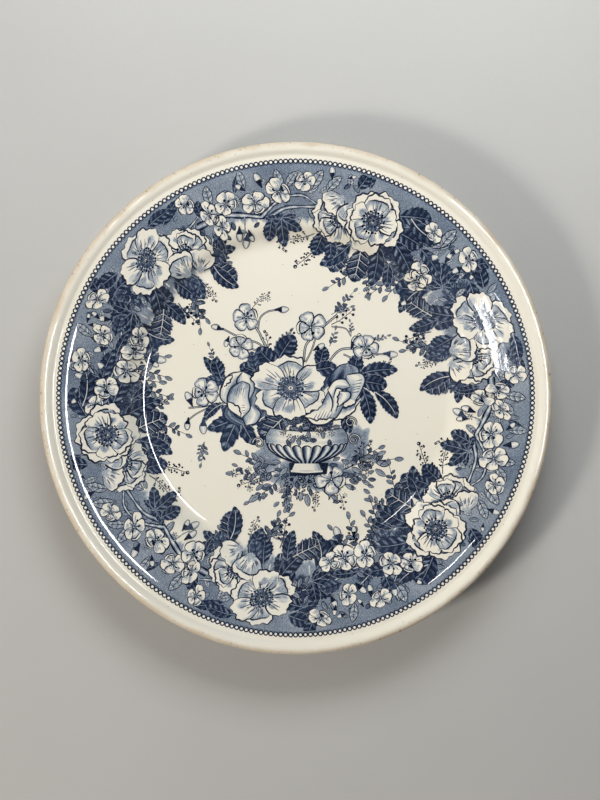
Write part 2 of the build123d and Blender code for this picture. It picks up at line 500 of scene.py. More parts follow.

# %% [markdown]
# ## Petals placed one by one
# The two blossoms beside the bouquet's middle are half open, and a fan can't draw them: their petals
# wrap round each other. So each of their petals is spanned between two edges whose points are listed,
# with a small table of ink across it, as an engraver would first draw the outlines and then shade
# between them.


# %% A petal between two edges
def sheet(motif, left, right, tones, level, pen=0.74, crimp=(0.0, 0.0), drawn=(True, True)):
    """A petal between two listed edges. `tones` is a small table of ink: its rows run from
    the start of the edges to their end, and its columns from the left edge to the right one."""
    left, right = flow(left, 0.7), flow(right, 0.7)
    t = np.linspace(0, 1, max(len(left), len(right), 8))
    edges = []
    for edge, depth in zip((left, right), crimp):
        own = np.linspace(0, 1, len(edge))
        edge = np.column_stack([np.interp(t, own, edge[:, 0]), np.interp(t, own, edge[:, 1])])
        wave = depth * (np.sin(t * 19 + 1) + 0.6 * np.sin(t * 37)) * np.sin(np.pi * t) ** 0.5
        edges.append(edge + sides(edge) * wave[:, None])
    v = np.linspace(0, 1, 13)
    grid = edges[0][:, None] + (edges[1] - edges[0])[:, None] * v[None, :, None]
    table = np.array(tones, float)
    table = np.vstack([table, table]) if table.ndim == 1 else table
    across = np.stack([np.interp(v, np.linspace(0, 1, table.shape[1]), row) for row in table])
    ink = np.stack([np.interp(t, np.linspace(0, 1, len(table)), column) for column in across.T], 1)
    ink = 0.22 + 1.4 * (ink - 0.22)  # deep folds, clean lights
    ink = ink + 0.25 * ink * np.sin(v * 17 + t[:, None] * 3)
    motif.patch(grid, np.clip(ink, 0, 1), level, strokes=0.4)
    for edge, wanted in zip(edges, drawn):
        if wanted:
            motif.line(edge, taper(len(edge), pen * 1.15, pen * 0.4), 0.92, level + 1)


def ticks(motif, route, length, turn, count, level, ink=0.7, width=0.42):
    """Short parallel strokes along a line, thick where they start."""
    line = flow(route, 0.4)
    a = math.radians(turn)
    for number in range(count):
        foot = line[int((len(line) - 1) * (number + 0.5) / count)]
        far = length * (0.7 + 0.5 * ((number * 7) % 5) / 5)
        stroke = flow([foot, foot + np.array([math.sin(a), math.cos(a)]) * far], 0.7)
        motif.line(stroke, taper(len(stroke), width, 0.12, False), ink, level)


# %% A half-open blossom, furled upright
def upright_cup():
    """A cup about 22 mm wide and 28 mm high, seen from its side, drawn from the back to the front."""
    motif = Motif()
    sheet(
        motif, [(4, 12), (1, 4), (4, -6)], [(4, 12), (10, 8), (12, 0), (9, -7)],
        [[0.45, 0.3, 0.5], [0.8, 0.5, 0.6]], 0,
    )
    sheet(
        motif, [(-7, -5), (-8, -9), (-5, -12), (0, -14)], [(-4, -5), (-2, -9), (2, -11), (5, -12.5)],
        [0.75, 0.45, 0.55], 2,
    )
    sheet(
        motif, [(3, -6), (2, -10), (4, -13.5)], [(7, -3), (11, -7), (9, -12), (4, -13.5)],
        [[0.5, 0.3, 0.1, 0.5], [0.6, 0.1, 0.0, 0.45]], 4,
    )
    sheet(
        motif, [(1, 13.6), (-6, 11.5), (-9.8, 5), (-9.6, -1), (-5, -4.5)],
        [(1, 13.6), (-1.5, 8), (-3.5, 3), (-5, -4.5)],
        [[0.05, 0.0, 0.10, 0.3], [0.10, 0.03, 0.35, 0.55], [0.45, 0.2, 0.4, 0.5]], 6,
    )
    sheet(
        motif, [(-4.5, 11.5), (-5.5, 8), (-8.5, 5)], [(-4.5, 11.5), (-8, 9.5), (-9.6, 4)],
        [0.0, 0.02, 0.0], 8, crimp=(0.35, 0),
    )
    sheet(
        motif, [(0.5, 13.4), (-2.2, 9), (-1.6, 4)], [(0.5, 13.4), (5.5, 11), (7.0, 5), (5.2, 0)],
        [[0.1, 0.0, 0.1, 0.4], [0.45, 0.1, 0.05, 0.45], [0.6, 0.3, 0.1, 0.4]], 10,
    )
    sheet(
        motif, [(0.6, 8.6), (-4.6, 5), (-6.4, -1), (-4.6, -6.5), (1.5, -10)],
        [(0.6, 8.6), (4.4, 6.8), (4.2, 1), (5.5, -5), (1.5, -10)],
        [[0.5, 0.45, 0.4, 0.5], [0.5, 0.35, 0.05, 0.35], [0.4, 0.05, 0.0, 0.25], [0.3, 0.0, 0.05, 0.45]],
        12, pen=0.7,
    )
    sheet(
        motif, [(-6.3, -2.2), (-5, -6.3), (1.2, -9.8)],
        [(-6.3, -2.2), (-2.4, -3.4), (0.2, -5.4), (1.2, -9.8)], [0.0, 0.02, 0.03], 14, crimp=(0, 0.3),
    )
    ticks(motif, [(-3, 4.5), (2.5, 5.5)], -4.5, 8, 5, 14)
    ticks(motif, [(2.5, -3), (3.4, -8)], -2.2, 80, 4, 14, 0.6)
    return motif


# %% A half-open blossom, lying on its side
def leaning_cup():
    """A blossom about 30 mm long whose mouth is turned to the right and whose skirt hangs to the left."""
    motif = Motif()
    sheet(
        motif, [(-4, 0), (-5.5, 7), (-1, 13.5), (4.5, 15.6)], [(6, 2), (9.5, 8), (9.5, 13), (4.5, 15.6)],
        [[0.9, 0.8, 0.6, 0.4], [0.6, 0.75, 0.45, 0.35], [0.45, 0.42, 0.42, 0.42], [0.4, 0.4, 0.4, 0.4]],
        0, pen=0.7,
    )
    sheet(
        motif, [(3.5, 9.5), (3, 4), (4.5, -2)], [(3.5, 9.5), (10.5, 10.5), (13, 7), (10.8, 1), (8, -3.5)],
        [[0.35, 0.2, 0.1, 0.3], [0.55, 0.12, 0.05, 0.2], [0.7, 0.35, 0.05, 0.3], [0.5, 0.4, 0.2, 0.35]], 2,
    )
    ticks(motif, [(11.6, 7.6), (9.6, 0.5)], -5.5, 78, 5, 4, 0.6, 0.6)
    sheet(
        motif, [(-2, -8), (2, -6.5), (6, -6), (10.5, -1.5)], [(-6, -14), (1, -12.5), (6, -10), (10.8, -3)],
        [[0.7, 0.2, 0.0, 0.1], [0.75, 0.3, 0.05, 0.0], [0.6, 0.4, 0.1, 0.0]], 4, crimp=(0.3, 0.3),
    )
    sheet(
        motif, [(-5.5, 1.5), (-9, -5), (-14, -9), (-17.5, -11)],
        [(3, -3), (0.5, -9), (-4, -13.5), (-13, -15.2), (-17.5, -11)],
        [[0.4, 0.1, 0.0, 0.6], [0.45, 0.1, 0.05, 0.5], [0.2, 0.0, 0.1, 0.35], [0.1, 0.0, 0.0, 0.1]],
        6, pen=0.7,
    )
    sheet(
        motif, [(-16.6, -11.6), (-12, -13), (-6, -12.4), (-2.5, -12)],
        [(-16.6, -11.6), (-13, -15.2), (-7, -15.2), (-2.5, -12)], [0.0, 0.03, 0.05], 8, crimp=(0.35, 0),
    )
    ticks(motif, [(-13, -12.5), (-4, -11.5)], 4.5, 28, 6, 8, 0.5, 0.6)
    sheet(
        motif, [(-6, 2.5), (-3.4, -4), (-4.2, -9)], [(-6, 2.5), (1.4, 5), (0.4, -2), (-1.8, -9)],
        [[0.35, 0.05, 0.0, 0.3], [0.4, 0.05, 0.0, 0.35], [0.4, 0.1, 0.1, 0.5]], 10,
    )
    sheet(
        motif, [(-5.8, 2.2), (-2.4, 6.8), (2.8, 7.4), (5.6, 3.6)],
        [(-3, -2), (-1.4, 2.8), (1.8, 2.4), (5.6, 3.6)],
        [[0.1, 0.05, 0.3], [0.15, 0.0, 0.4], [0.4, 0.2, 0.55]], 12, pen=0.7,
    )
    sheet(
        motif, [(0.2, 1.4), (-0.8, -2), (-0.6, -6.4)], [(0.2, 1.4), (5.2, 1), (5, -2.4), (-0.6, -6.4)],
        [[0.9, 0.05, 0.3], [0.3, 0.0, 0.35], [0.1, 0.05, 0.9]], 14, crimp=(0.25, 0),
    )
    return motif


CUP = [upright_cup(), leaning_cup()]
print("half-open blossoms:", [cup.count for cup in CUP], "points")

# %% [markdown]
# ## Small flowers and buds
# The little flowers are the same petals, broad and short, with a few dark spots round the eye. A bud is
# a ribbon whose width swells and closes again. Four flowers and three buds are enough: each copy is
# turned, scaled or squashed a little, as flowers on one branch are.


# %% Small five-petalled flowers
def small_flower(seed, r=6.3, rim=0.0):
    """A little open flower with dark spots round its eye."""
    rng = random.Random(seed)
    motif = Motif()
    for step, number in enumerate((0, 2, 4, 1, 3)):
        turn = 72 * number + rng.uniform(-7, 7)
        length = r * rng.uniform(0.88, 1.08)
        rolled = number == seed % 5
        petal(motif, rng, turn, length, 39, 0.8 * step, 0.38, rolled, (10, 13), 0.56, 1, rim, wavy=0.45)
    for arm in range(5):
        a = math.radians(72 * arm + rng.uniform(-24, 24) + 20)
        tip = np.array([math.sin(a), math.cos(a)]) * r * rng.uniform(0.24, 0.52)
        motif.line(np.linspace((0, 0), tip, 4), 0.42, 0.95, 6)
        motif.dot(*tip, rng.uniform(0.3, 0.75), 0.98, 6, 7, squash=1.3)
    motif.dot(0, 0, 0.85, 0.95, 6, 9)
    motif.dot(0, 0, 0.35, 0.10, 6.5, 7)
    return motif


FLOWER = [small_flower(seed) for seed in (1, 2, 4, 6)]
SHADED_FLOWER = [small_flower(seed, 6.8, rim=0.36) for seed in (21, 23)]
print("small flower:", FLOWER[0].count, "points")


# %% Buds
def bud(length=7.0, dark=0.95):
    """An oval bud in a dark cup, on a bit of stem; it points up from its foot."""
    motif = Motif()
    oval = flow([(0, length * 0.30), (0.2, length * 0.6), (0, length)], 0.5)
    width = length * 0.46 * np.sin(np.linspace(0.35, np.pi - 0.05, len(oval))) ** 0.6
    motif.patch(ribbon(oval, width, 5), [[0.45, 0.1, 0.02, 0.15, 0.4]] * len(oval), 0)
    for side in (-0.5, 0.5):
        motif.line(oval + sides(oval) * (width * side)[:, None], 0.3, 0.95, 1)
    motif.line(oval[-2:] + (0, 0.1), 0.45, 0.95, 1)
    cup = flow([(0, -0.3), (0, length * 0.28), (0, length * 0.52)], 0.5)
    motif.patch(ribbon(cup, np.linspace(0.5, length * 0.42, len(cup)), 4), dark, 2, strokes=0.3)
    return motif


BUD = [bud(7.0), bud(5.6), bud(8.2, 0.8)]
print("bud:", BUD[0].count, "points")

# %% [markdown]
# ## The leaves
# The big leaves are the darkest part of the pattern. Each is two patches, one on either side of a
# curved spine, with teeth along the edge. Bands of lighter ink between the veins make it look folded.
# The veins are lines over the patches: pale where the engraver left the copper uncut, and darker than
# the leaf where it was cut once more. One function draws all of them, so a new leaf is one line.


# %% The ink of half a leaf
def folded_ink(u, v, veins, tone, light):
    """Ink at u along the spine and v out from it, with a lighter band between each two veins."""
    fold = np.cos(math.tau * (u[:, None] * veins - 0.35 * v[None])) * 0.5 + 0.5
    inside = 1 - smooth_step(0.7, 0.95, v)
    fold = smooth_step(0.45, 0.85, fold) * smooth_step(0.08, 0.25, v)[None] * inside[None]
    return tone - light * fold * (0.75 + 0.25 * np.sin(u * 9))[:, None]


# %% A toothed leaf
def leaf(
    length, width, bend=0.0, tone=0.92, light=0.45, teeth=8, veins=5, vein_ink=0.99, rib=0.5, outlined=False
):
    """A leaf that points up from its foot and bends to the right."""
    motif = Motif()
    spine = flow([(0, 0), (bend * 0.12, length * 0.35), (bend * 0.5, length * 0.72), (bend, length)], 0.6)
    u = np.linspace(0, 1, len(spine))
    along = np.gradient(spine, axis=0)
    along /= np.linalg.norm(along, axis=1)[:, None]
    half = width / 2 * np.sin(np.pi * np.clip(u * 0.97 + 0.02, 0, 1) ** 0.80) ** 0.75
    half *= 1 + 0.22 * ((u * teeth) % 1 - 0.5) * (u < 0.93)
    v = np.linspace(0, 1, 8)
    for side in (-1, 1):
        out = side * sides(spine)[:, None] * (half[:, None] * v[None])[..., None]
        swept = along[:, None] * (half[:, None] * v[None] ** 1.3 * 0.42)[..., None]
        grid = spine[:, None] + out + swept
        lit = light * (1.0 if side > 0 else 0.55)
        motif.patch(grid, folded_ink(u, v, veins, tone, lit), 0, strokes=0.4)
        if outlined:
            motif.line(grid[:, -1], 0.42, 0.94, 1)
        elif side < 0:
            motif.line(grid[:, -1] - out[:, -1] * 0.05, 0.22, 0.35, 0.5)
        for number in range(1, veins):
            start = int(len(spine) * (number - 0.3) / veins)
            tip = grid[min(start + 1, len(spine) - 1), -2]
            vein = flow([spine[start], (spine[start] + tip) / 2 + along[start] * 0.15, tip], 0.7)
            motif.line(vein, taper(len(vein), 0.36, 0.14, False), vein_ink, 1)
    end = int(len(spine) * 0.92)
    motif.line(spine[:end], taper(end, 0.50, 0.16, False), rib, 1.5)
    return motif


LEAF = {
    "broad": leaf(17, 11.5, 1.5, vein_ink=0.16, rib=0.10),
    "deep": leaf(16, 11.0, 1.5, light=0.48, teeth=7, veins=5, vein_ink=0.99),
    "long": leaf(19, 8.5, 4.0, light=0.50, vein_ink=0.99),
    "hooked": leaf(16, 7.5, -6.5, light=0.35, teeth=7, rib=0.15),
    "short": leaf(11.5, 7.5, -1.0, light=0.5, veins=4, teeth=6, vein_ink=0.99),
    "narrow": leaf(14, 5.0, 2.0, light=0.4, veins=5, teeth=8, vein_ink=0.97),
    "grey": leaf(12, 7.5, 1.5, tone=0.80, light=0.35, veins=4, teeth=6, rib=0.97),
    "pale": leaf(10, 4.6, 1.5, 0.42, 0.38, veins=4, teeth=5, vein_ink=0.92, rib=0.9, outlined=True),
}
print(len(LEAF), "leaves, the broad one of", LEAF["broad"].count, "points")


# %% A lobed leaf
LOBES = [(-88, 0.55), (82, 0.58), (-44, 0.86), (40, 0.90), (-3, 1.0)]  # turn, size


def hand_leaf(seed=0, size=13.0):
    """Five pointed leaves that share a foot, like the fingers of a hand."""
    motif = Motif()
    for step, (turn, share) in enumerate(LOBES):
        lobe = leaf(size * share, size * share * 0.48, math.copysign(1.2, turn), teeth=4, veins=4)
        motif.add(lobe, turn=turn + 7 * math.sin(seed + step * 2), level=2 * step)
    return motif


HAND = [hand_leaf(0), hand_leaf(2)]


# %% Small leaves
def leaflet(length=4.2, width=1.9, tone=0.5):
    """A small outlined leaf with one vein."""
    motif = Motif()
    spine = flow([(0, 0), (0.12, length / 2), (0, length)], 0.6)
    wide = width * np.sin(np.pi * np.linspace(0.03, 0.97, len(spine))) ** 0.8
    motif.patch(ribbon(spine, wide, 3), [[tone + 0.2, tone - 0.15, tone]] * len(spine), 0)
    for side in (-0.5, 0.5):
        motif.line(spine + sides(spine) * (wide * side)[:, None], 0.27, 0.95, 1)
    motif.line(spine[:-1], 0.20, 0.9, 1)
    return motif


LEAFLET = [leaflet(3.9, 1.9, 0.5), leaflet(3.4, 1.7, 0.72), leaflet(5.4, 2.4, 0.42)]
print("leaflet:", LEAFLET[0].count, "points")


# %% Sprigs with leaflets, berries or seeds
def sprig(seed, length=13.0, bend=3.0, pairs=4, kind="leaves"):
    """A thin stem with leaflets, berries or seeds on short stalks, alternately left and right."""
    rng = random.Random(seed)
    motif = Motif()
    stem = flow([(0, 0), (bend * 0.2, length * 0.4), (bend, length)], 0.9)
    motif.line(stem, taper(len(stem), 0.42, 0.2, False), 0.92, 0)
    for number in range(pairs * 2):
        u = 0.22 + 0.70 * number / (pairs * 2)
        x, y = stem[int(u * (len(stem) - 1))]
        side = 1 if number % 2 else -1
        turn = side * rng.uniform(38, 62) + math.degrees(math.atan2(bend, length)) * u * 1.6
        size = (1.12 - 0.45 * u) * rng.uniform(0.85, 1.1)
        if kind == "leaves":
            motif.add(rng.choice(LEAFLET[:2]), x, y, turn, size, level=1)
            continue
        a, far = math.radians(turn), rng.uniform(1.6, 3.0) * size
        tip = (x + far * math.sin(a), y + far * math.cos(a))
        motif.line(np.linspace((x, y), tip, 3), 0.22, 0.9, 0)
        for _ in range(3 if kind == "seeds" else 1):
            spread = 0.75 if kind == "seeds" else 0.0
            spot = (tip[0] + rng.uniform(-spread, spread), tip[1] + rng.uniform(-spread, spread))
            motif.dot(*spot, 0.42 if kind == "seeds" else 0.72, 0.97, 1, 7)
    x, y = stem[-1]
    if kind == "leaves":
        motif.add(LEAFLET[0], x, y, math.degrees(math.atan2(bend, length)) * 1.6, 0.8, level=1)
    else:
        motif.dot(x, y, 0.8, 0.97, 1, 9)
        motif.dot(x - 0.15, y + 0.15, 0.26, 0.1, 2, 7)
    return motif


# %% Tiny flowers
def floret(seed, r=2.0, count=7):
    """A tiny flower of separate drops round a dot."""
    rng = random.Random(seed)
    motif = Motif()
    for number in range(count):
        turn = 360 * number / count + rng.uniform(-8, 8)
        a = math.radians(turn)
        drop = np.array([[math.sin(a), math.cos(a)]]) * np.linspace(0.38, 1.0, 5)[:, None] * r
        motif.line(drop, taper(5, r * 0.36, 0.15), 0.93, 0)
        motif.line(drop[1:4], 0.16, 0.2, 1)
    motif.dot(0, 0, r * 0.22, 0.95, 0, 7)
    return motif


SPRIG = {
    "leaves": [sprig(31, pairs=3), sprig(32, 11, -3, 3), sprig(33, 17, 5, 4)],
    "seeds": [sprig(41, 14, 3, 4, "seeds"), sprig(42, 11, -4, 3, "seeds")],
    "berries": [sprig(51, 9, 2, 2, "berries"), sprig(52, 12, -3, 3, "berries")],
}
FLORET = [floret(1), floret(2, 2.4, 8), floret(3, 1.6, 6)]
print(sum(len(kind) for kind in SPRIG.values()), "sprigs and", len(FLORET), "florets")


# %% A woody branch
def branch(points, width=2.6):
    """A branch with dark bark on both sides and a pale middle, thinner towards its end."""
    motif = Motif()
    line = flow(points, 0.7)
    u = np.linspace(0, 1, len(line))
    knots = 1 + 0.16 * np.sin(u * 19 + 1) + 0.10 * np.sin(u * 41)
    ink = np.array([1.0, 0.95, 0.45, 0.12, 0.30, 0.97, 1.0]) + 0.12 * np.sin(u * 60)[:, None]
    motif.patch(ribbon(line, width * knots * (1.1 - 0.5 * u), 7), np.clip(ink, 0, 1), 0, strokes=0.5)
    return motif


# %% [markdown]
# ## The border
# The border was printed from one copper plate and laid on in three strips. One strip runs from a big
# open blossom and its neighbour, along a branch of small flowers, to the next pair. It could be drawn
# straight and bent round with a modifier, but then the flowers would be bent too. So a strip is a list
# of places along the rim: degrees clockwise from its first blossom, and millimetres from the middle.
# It is written down once and used three times. The third strip was cut short where it met the first,
# and its beginning is missing, as on a real plate.

# %% Where the strips lie: heading of the first blossom, stretch of the strip, first degree kept
STRIPS = [(190.0, 0.985, -60.0), (313.0, 1.01, -60.0), (68.0, 0.93, -22.0)]
GROUND_START = -54.0  # degrees: a whole strip's blue ground starts here
GROUND_EDGE = [  # degrees from the strip's first blossom, and how far in the blue ground reaches, mm
    (-54, 90), (-46, 84), (-38, 82), (-30, 87), (-22, 84), (-14, 80), (-6, 79), (4, 80), (12, 78),
    (18, 86), (26, 92), (34, 90), (42, 86), (50, 88), (58, 85), (66, 80), (69, 84), (76, 80),
]


class Strip:
    """One strip of the border, which knows where its degrees lie on the plate."""

    def __init__(self, number):
        self.heading, self.stretch, self.first = STRIPS[number]
        next_heading, _, next_first = STRIPS[(number + 1) % len(STRIPS)]
        span = (next_heading - self.heading) % 360
        self.start = max(self.first, GROUND_START)
        self.end = span + max(next_first, GROUND_START)
        self.next_flowers = span + next_first
        self.motif = Motif()

    def place(self, t, r):
        a = math.radians(self.heading + t * (self.stretch if t > 0 else 1))
        return r * math.sin(a), r * math.cos(a), math.degrees(a)

    def put(self, motif, t, r, turn=0.0, size=1.0, level=0.0, squash=1.0):
        """Puts a motif down; turn 0 points its tip out to the rim, 90 clockwise along it."""
        if t >= self.first:
            x, y, heading = self.place(t, r)
            self.motif.add(motif, x, y, heading + turn, size, squash, level)

    def run(self, route):
        return [self.place(t, r)[:2] for t, r in route]


# %% The blue ground
def ground_strip(number):
    """The finely dotted blue behind the flowers, with a soft, uneven inner edge."""
    strip = Strip(number)
    rng = random.Random(60 + number)
    t = np.linspace(strip.start, strip.end, int((strip.end - strip.start) * 1.6))
    edge_t, edge_r = np.array(GROUND_EDGE, float).T
    inner = np.interp(t, edge_t, edge_r, right=82)
    inner += 1.0 * np.sin(t * 1.9 + rng.uniform(0, 6)) + 0.7 * np.sin(t * 4.3)
    u = np.linspace(0, 1, 30)[:, None]
    r = inner + (GROUND_OUTER_R - inner) * u
    a = np.radians(strip.heading + t)[None]
    # fades out at the inner edge, and is a little paler where the copper was worn
    worn = 0.05 * np.sin(np.radians(t) * 9 + number) + 0.04 * np.sin(np.radians(t) * 23 + r * 0.2)
    ink = 0.47 * smooth_step(0, 0.10, u) + worn * smooth_step(0, 0.2, u)
    strip.motif.patch(np.stack([r * np.sin(a), r * np.cos(a)], -1), ink, 0, strokes=0.12)
    return strip.motif


# %% The chain of beads inside the lip
def bead_chain(number, beads=300):
    """White beads in dark rings, on a dark thread."""
    strip = Strip(number)
    motif = strip.motif
    bead = Motif()
    bead.dot(0, 0, 1.32, 0.88, 1, 15)
    bead.dot(0, 0, 0.66, 0.0, 2, 13)
    start = strip.heading + strip.start
    length = strip.end - strip.start
    a = np.radians(start + np.linspace(0, length, 240))[None]
    r = np.array([GROUND_OUTER_R - 0.6, BEAD_LINE_R - 0.2, BEAD_LINE_R + 0.55])[:, None]
    motif.patch(np.stack([r * np.sin(a), r * np.cos(a)], -1), [[0.55], [0.70], [0.70]] * np.ones_like(a), 0)
    pitch = 360 / beads
    for step in range(math.ceil(start / pitch), math.ceil((start + length) / pitch)):
        a = math.radians(step * pitch)
        motif.add(bead, BEAD_LINE_R * math.sin(a), BEAD_LINE_R * math.cos(a), turn=step * pitch)
    return motif


# %% Dark hollows under the leaves
def hollow(rng, length=12.0, width=7.0, ink=0.86, fade=(1.0, 1.0, 0.94, 0.74, 0.58), strokes=0.7):
    """An uneven patch of close strokes, as the engraver cut the depth between leaves."""
    motif = Motif()
    a = np.linspace(0, math.tau, 41)
    rim = 1 + 0.10 * np.sin(a * 5 + rng.uniform(0, 6)) + 0.08 * np.sin(a * 9 + rng.uniform(0, 6))
    rings = np.linspace(0.02, 1.0, 14)[:, None]
    ring = np.column_stack([np.sin(a) * width / 2, np.cos(a) * length / 2]) * rim[:, None]
    tone = ink * np.interp(rings, (0.02, 0.35, 0.7, 0.9, 1.0), fade) * np.ones_like(a)[None]
    return motif.patch(rings[..., None] * ring[None], tone, 0, strokes)


# %% The leaves of one strip
LEAVES = [  # kind, degrees, radius, turn, size
    # round the first blossom
    ("deep", -9, 93, 150, 1.0), ("long", -12, 104, 100, 0.9), ("broad", -9, 80, -120, 0.95),
    ("long", -7, 82, 178, 0.8), ("broad", 14, 80, 150, 0.95), ("hooked", 15, 79, 185, 1.0),
    ("grey", 13, 87, 125, 1.1), ("narrow", 9, 108, 62, 1.15), ("long", 6, 112, 82, 0.75),
    ("short", -8, 108, -70, 1.0), ("deep", -13, 96, -95, 0.9), ("long", -5, 90, -150, 0.95),
    ("deep", 1, 85, 168, 0.85), ("long", 6, 83, 176, 0.8), ("grey", 3, 84, 150, 0.9),
    # along the branch
    ("short", 19, 101, 15, 0.7), ("pale", 23, 104, 0, 1.0), ("pale", 25, 103, 40, 0.8),
    ("narrow", 30, 106, 20, 0.7), ("pale", 33, 107, -15, 0.9), ("pale", 43, 104, -25, 1.0),
    ("pale", 44, 105, 30, 0.9), ("short", 47, 103, 10, 0.7), ("pale", 51, 104, 18, 1.05),
    ("pale", 55, 104, 30, 1.0), ("narrow", 20, 92, 165, 0.8), ("short", 39, 90, 200, 0.9),
    # round the second pair
    ("broad", 63, 83, 178, 1.0), ("long", 66, 82, 205, 0.95), ("broad", 70, 82, 165, 1.0),
    ("long", 75, 86, 150, 1.0), ("deep", 77, 97, 85, 1.0), ("deep", 76, 104, 62, 1.0),
    ("hooked", 79, 106, 118, 1.1), ("long", 78, 92, 108, 1.05), ("short", 63, 108, 25, 0.9),
    ("narrow", 66, 110, -10, 0.8), ("grey", 81, 89, 130, 1.1), ("short", 84, 100, 60, 0.9),
    ("deep", 56, 85, -172, 0.8), ("short", 59, 82, 172, 0.9),
    # the gap between the pairs: the end of one strip runs into the start of the next
    ("pale", 88, 101, 20, 1.3), ("pale", 90, 104, -10, 1.1), ("long", 86, 97, 95, 0.9),
    ("pale", -33, 103, -30, 1.0), ("narrow", -30, 92, 95, 1.0), ("deep", -17, 86, -140, 1.05),
    ("hooked", -19, 83, -165, 0.9), ("grey", -24, 95, 80, 0.9), ("short", -37, 97, 10, 0.9),
    ("pale", -26, 106, 15, 0.9), ("narrow", -40, 88, 140, 0.8), ("short", -15, 110, 35, 0.85),
]
HANDS = [  # lobed leaves: degrees, radius, turn, size
    (42, 90, 178, 1.05), (-15, 92, -60, 1.0), (81, 82, 150, 0.9), (18, 84, 120, 0.8),
]
print(len(LEAVES) + len(HANDS), "leaves in a strip")

# %% The branches, hollows and sprays of one strip
BRANCHES = [  # the route in degrees and radius, and the width, mm
    ([(17, 98), (25, 97.5), (32, 94), (38, 91.5), (44, 95), (53, 96)], 3.0),
    ([(36, 92), (42, 99), (48, 101), (53, 97)], 2.2),
    ([(15, 100), (22, 104), (30, 102), (36, 105)], 1.3),
    ([(-48, 92), (-38, 93), (-30, 90), (-20, 94), (-12, 96)], 1.8),
    ([(-36, 93), (-28, 99), (-20, 101)], 1.2),
    ([(31, 94), (30, 88), (29, 85)], 0.7),
]
HOLLOWS = [  # degrees, radius, length, width
    (-10, 96, 20, 16), (-13, 104, 12, 10), (10, 88, 15, 12), (13, 97, 12, 9), (76, 97, 18, 15),
    (79, 88, 14, 12), (73, 84, 12, 14), (60, 90, 14, 8), (82, 103, 12, 8), (-20, 91, 13, 9),
    (-31, 95, 10, 8), (41, 90, 10, 8), (62, 84, 10, 12),
]
SPRAYS = [  # kind, number, degrees, radius, turn, size: these hang into the cream of the well
    ("seeds", 0, 56, 80, 205, 1.0), ("seeds", 1, 59, 80, 165, 0.9), ("seeds", 0, 53, 83, 240, 0.8),
    ("leaves", 2, 72, 76, 190, 0.9), ("berries", 0, 69, 74, 215, 0.9), ("leaves", 1, 76, 76, 170, 0.9),
    ("seeds", 1, 80, 76, 195, 0.8), ("leaves", 0, 85, 82, 178, 1.0), ("leaves", 1, 89, 84, 200, 1.0),
    ("leaves", 2, 4, 76, 196, 0.9), ("leaves", 0, 0, 76, 172, 0.9), ("berries", 1, -4, 76, 200, 0.9),
    ("leaves", 1, -8, 76, 160, 0.9), ("seeds", 0, 8, 76, 170, 0.7), ("leaves", 1, -28, 82, 182, 0.9),
    ("leaves", 0, -33, 84, 170, 1.0), ("berries", 0, -24, 82, 190, 0.8), ("leaves", 2, -36, 86, 205, 0.8),
    ("seeds", 1, 40, 84, 180, 0.7), ("leaves", 1, 20, 84, 190, 0.8), ("berries", 1, 95, 84, 180, 0.7),
]
TINY = [  # florets: degrees, radius, size, number
    (-2, 70, 1.0, 0), (2, 71.5, 0.9, 1), (-6, 71, 0.9, 2), (6, 69, 1.0, 1), (70, 70, 1.0, 0),
    (74, 70.5, 0.9, 1), (77, 72, 0.9, 2), (-27, 77, 1.1, 1), (-31, 79, 1.0, 2), (-21, 76, 1.0, 0),
    (66, 71, 0.8, 2), (91, 80, 1.0, 1),
]
print(len(SPRAYS), "sprays and", len(TINY), "florets hang into the well from a strip")


# %% Small leaves that fill the ground
def scatter(strip, rng, tries=230, apart=3.4):
    """Leaflets and florets that crowd the ground between the flowers, never on top of each other."""
    taken = []
    mm_per_degree = 1.75
    for _ in range(tries):
        t, r = rng.uniform(max(strip.first, -52), 92), rng.uniform(85, 109)
        if any(math.hypot((t - a) * mm_per_degree, r - b) < apart for a, b in taken):
            continue
        taken.append((t, r))
        choice = rng.random()
        if choice < 0.55:
            motif, turn = rng.choice(LEAFLET), rng.uniform(-80, 80)
            strip.put(motif, t, r, turn, rng.uniform(0.8, 1.3), 4 + rng.random() * 2)
        elif choice < 0.85:
            turn = rng.uniform(-70, 70)
            strip.put(LEAF["pale"], t, r, turn, rng.uniform(0.45, 0.7), 4 + rng.random() * 2)
        else:
            strip.put(FLORET[2], t, r, 0, rng.uniform(0.8, 1.1), 4)


# %% The foliage of one strip
def foliage(number):
    """Everything green, if it weren't blue: hollows, branches, leaves and sprays of one strip."""
    strip = Strip(number)
    rng = random.Random(200 + number)
    for t, r, length, width in HOLLOWS:
        strip.put(hollow(rng, length, width), t, r, rng.uniform(0, 180), level=0.5)
    for step, (kind, which, t, r, turn, size) in enumerate(SPRAYS):
        strip.put(SPRIG[kind][which], t, r, turn, size * 1.3, 2 + step % 3)
    for t, r, size, which in TINY:
        strip.put(FLORET[which], t, r, rng.uniform(0, 360), size, 2)
    scatter(strip, rng)
    for step, (route, width) in enumerate(BRANCHES):
        if route[0][0] >= strip.first:
            strip.motif.add(branch(strip.run(route), width), level=8 + step % 2)
    for step, (kind, t, r, turn, size) in enumerate(LEAVES):
        strip.put(LEAF[kind], t, r, turn, size, 12 + 2.5 * (step % 9))
    for step, (t, r, turn, size) in enumerate(HANDS):
        strip.put(HAND[step % 2], t, r, turn, size, 10)
    return strip.motif


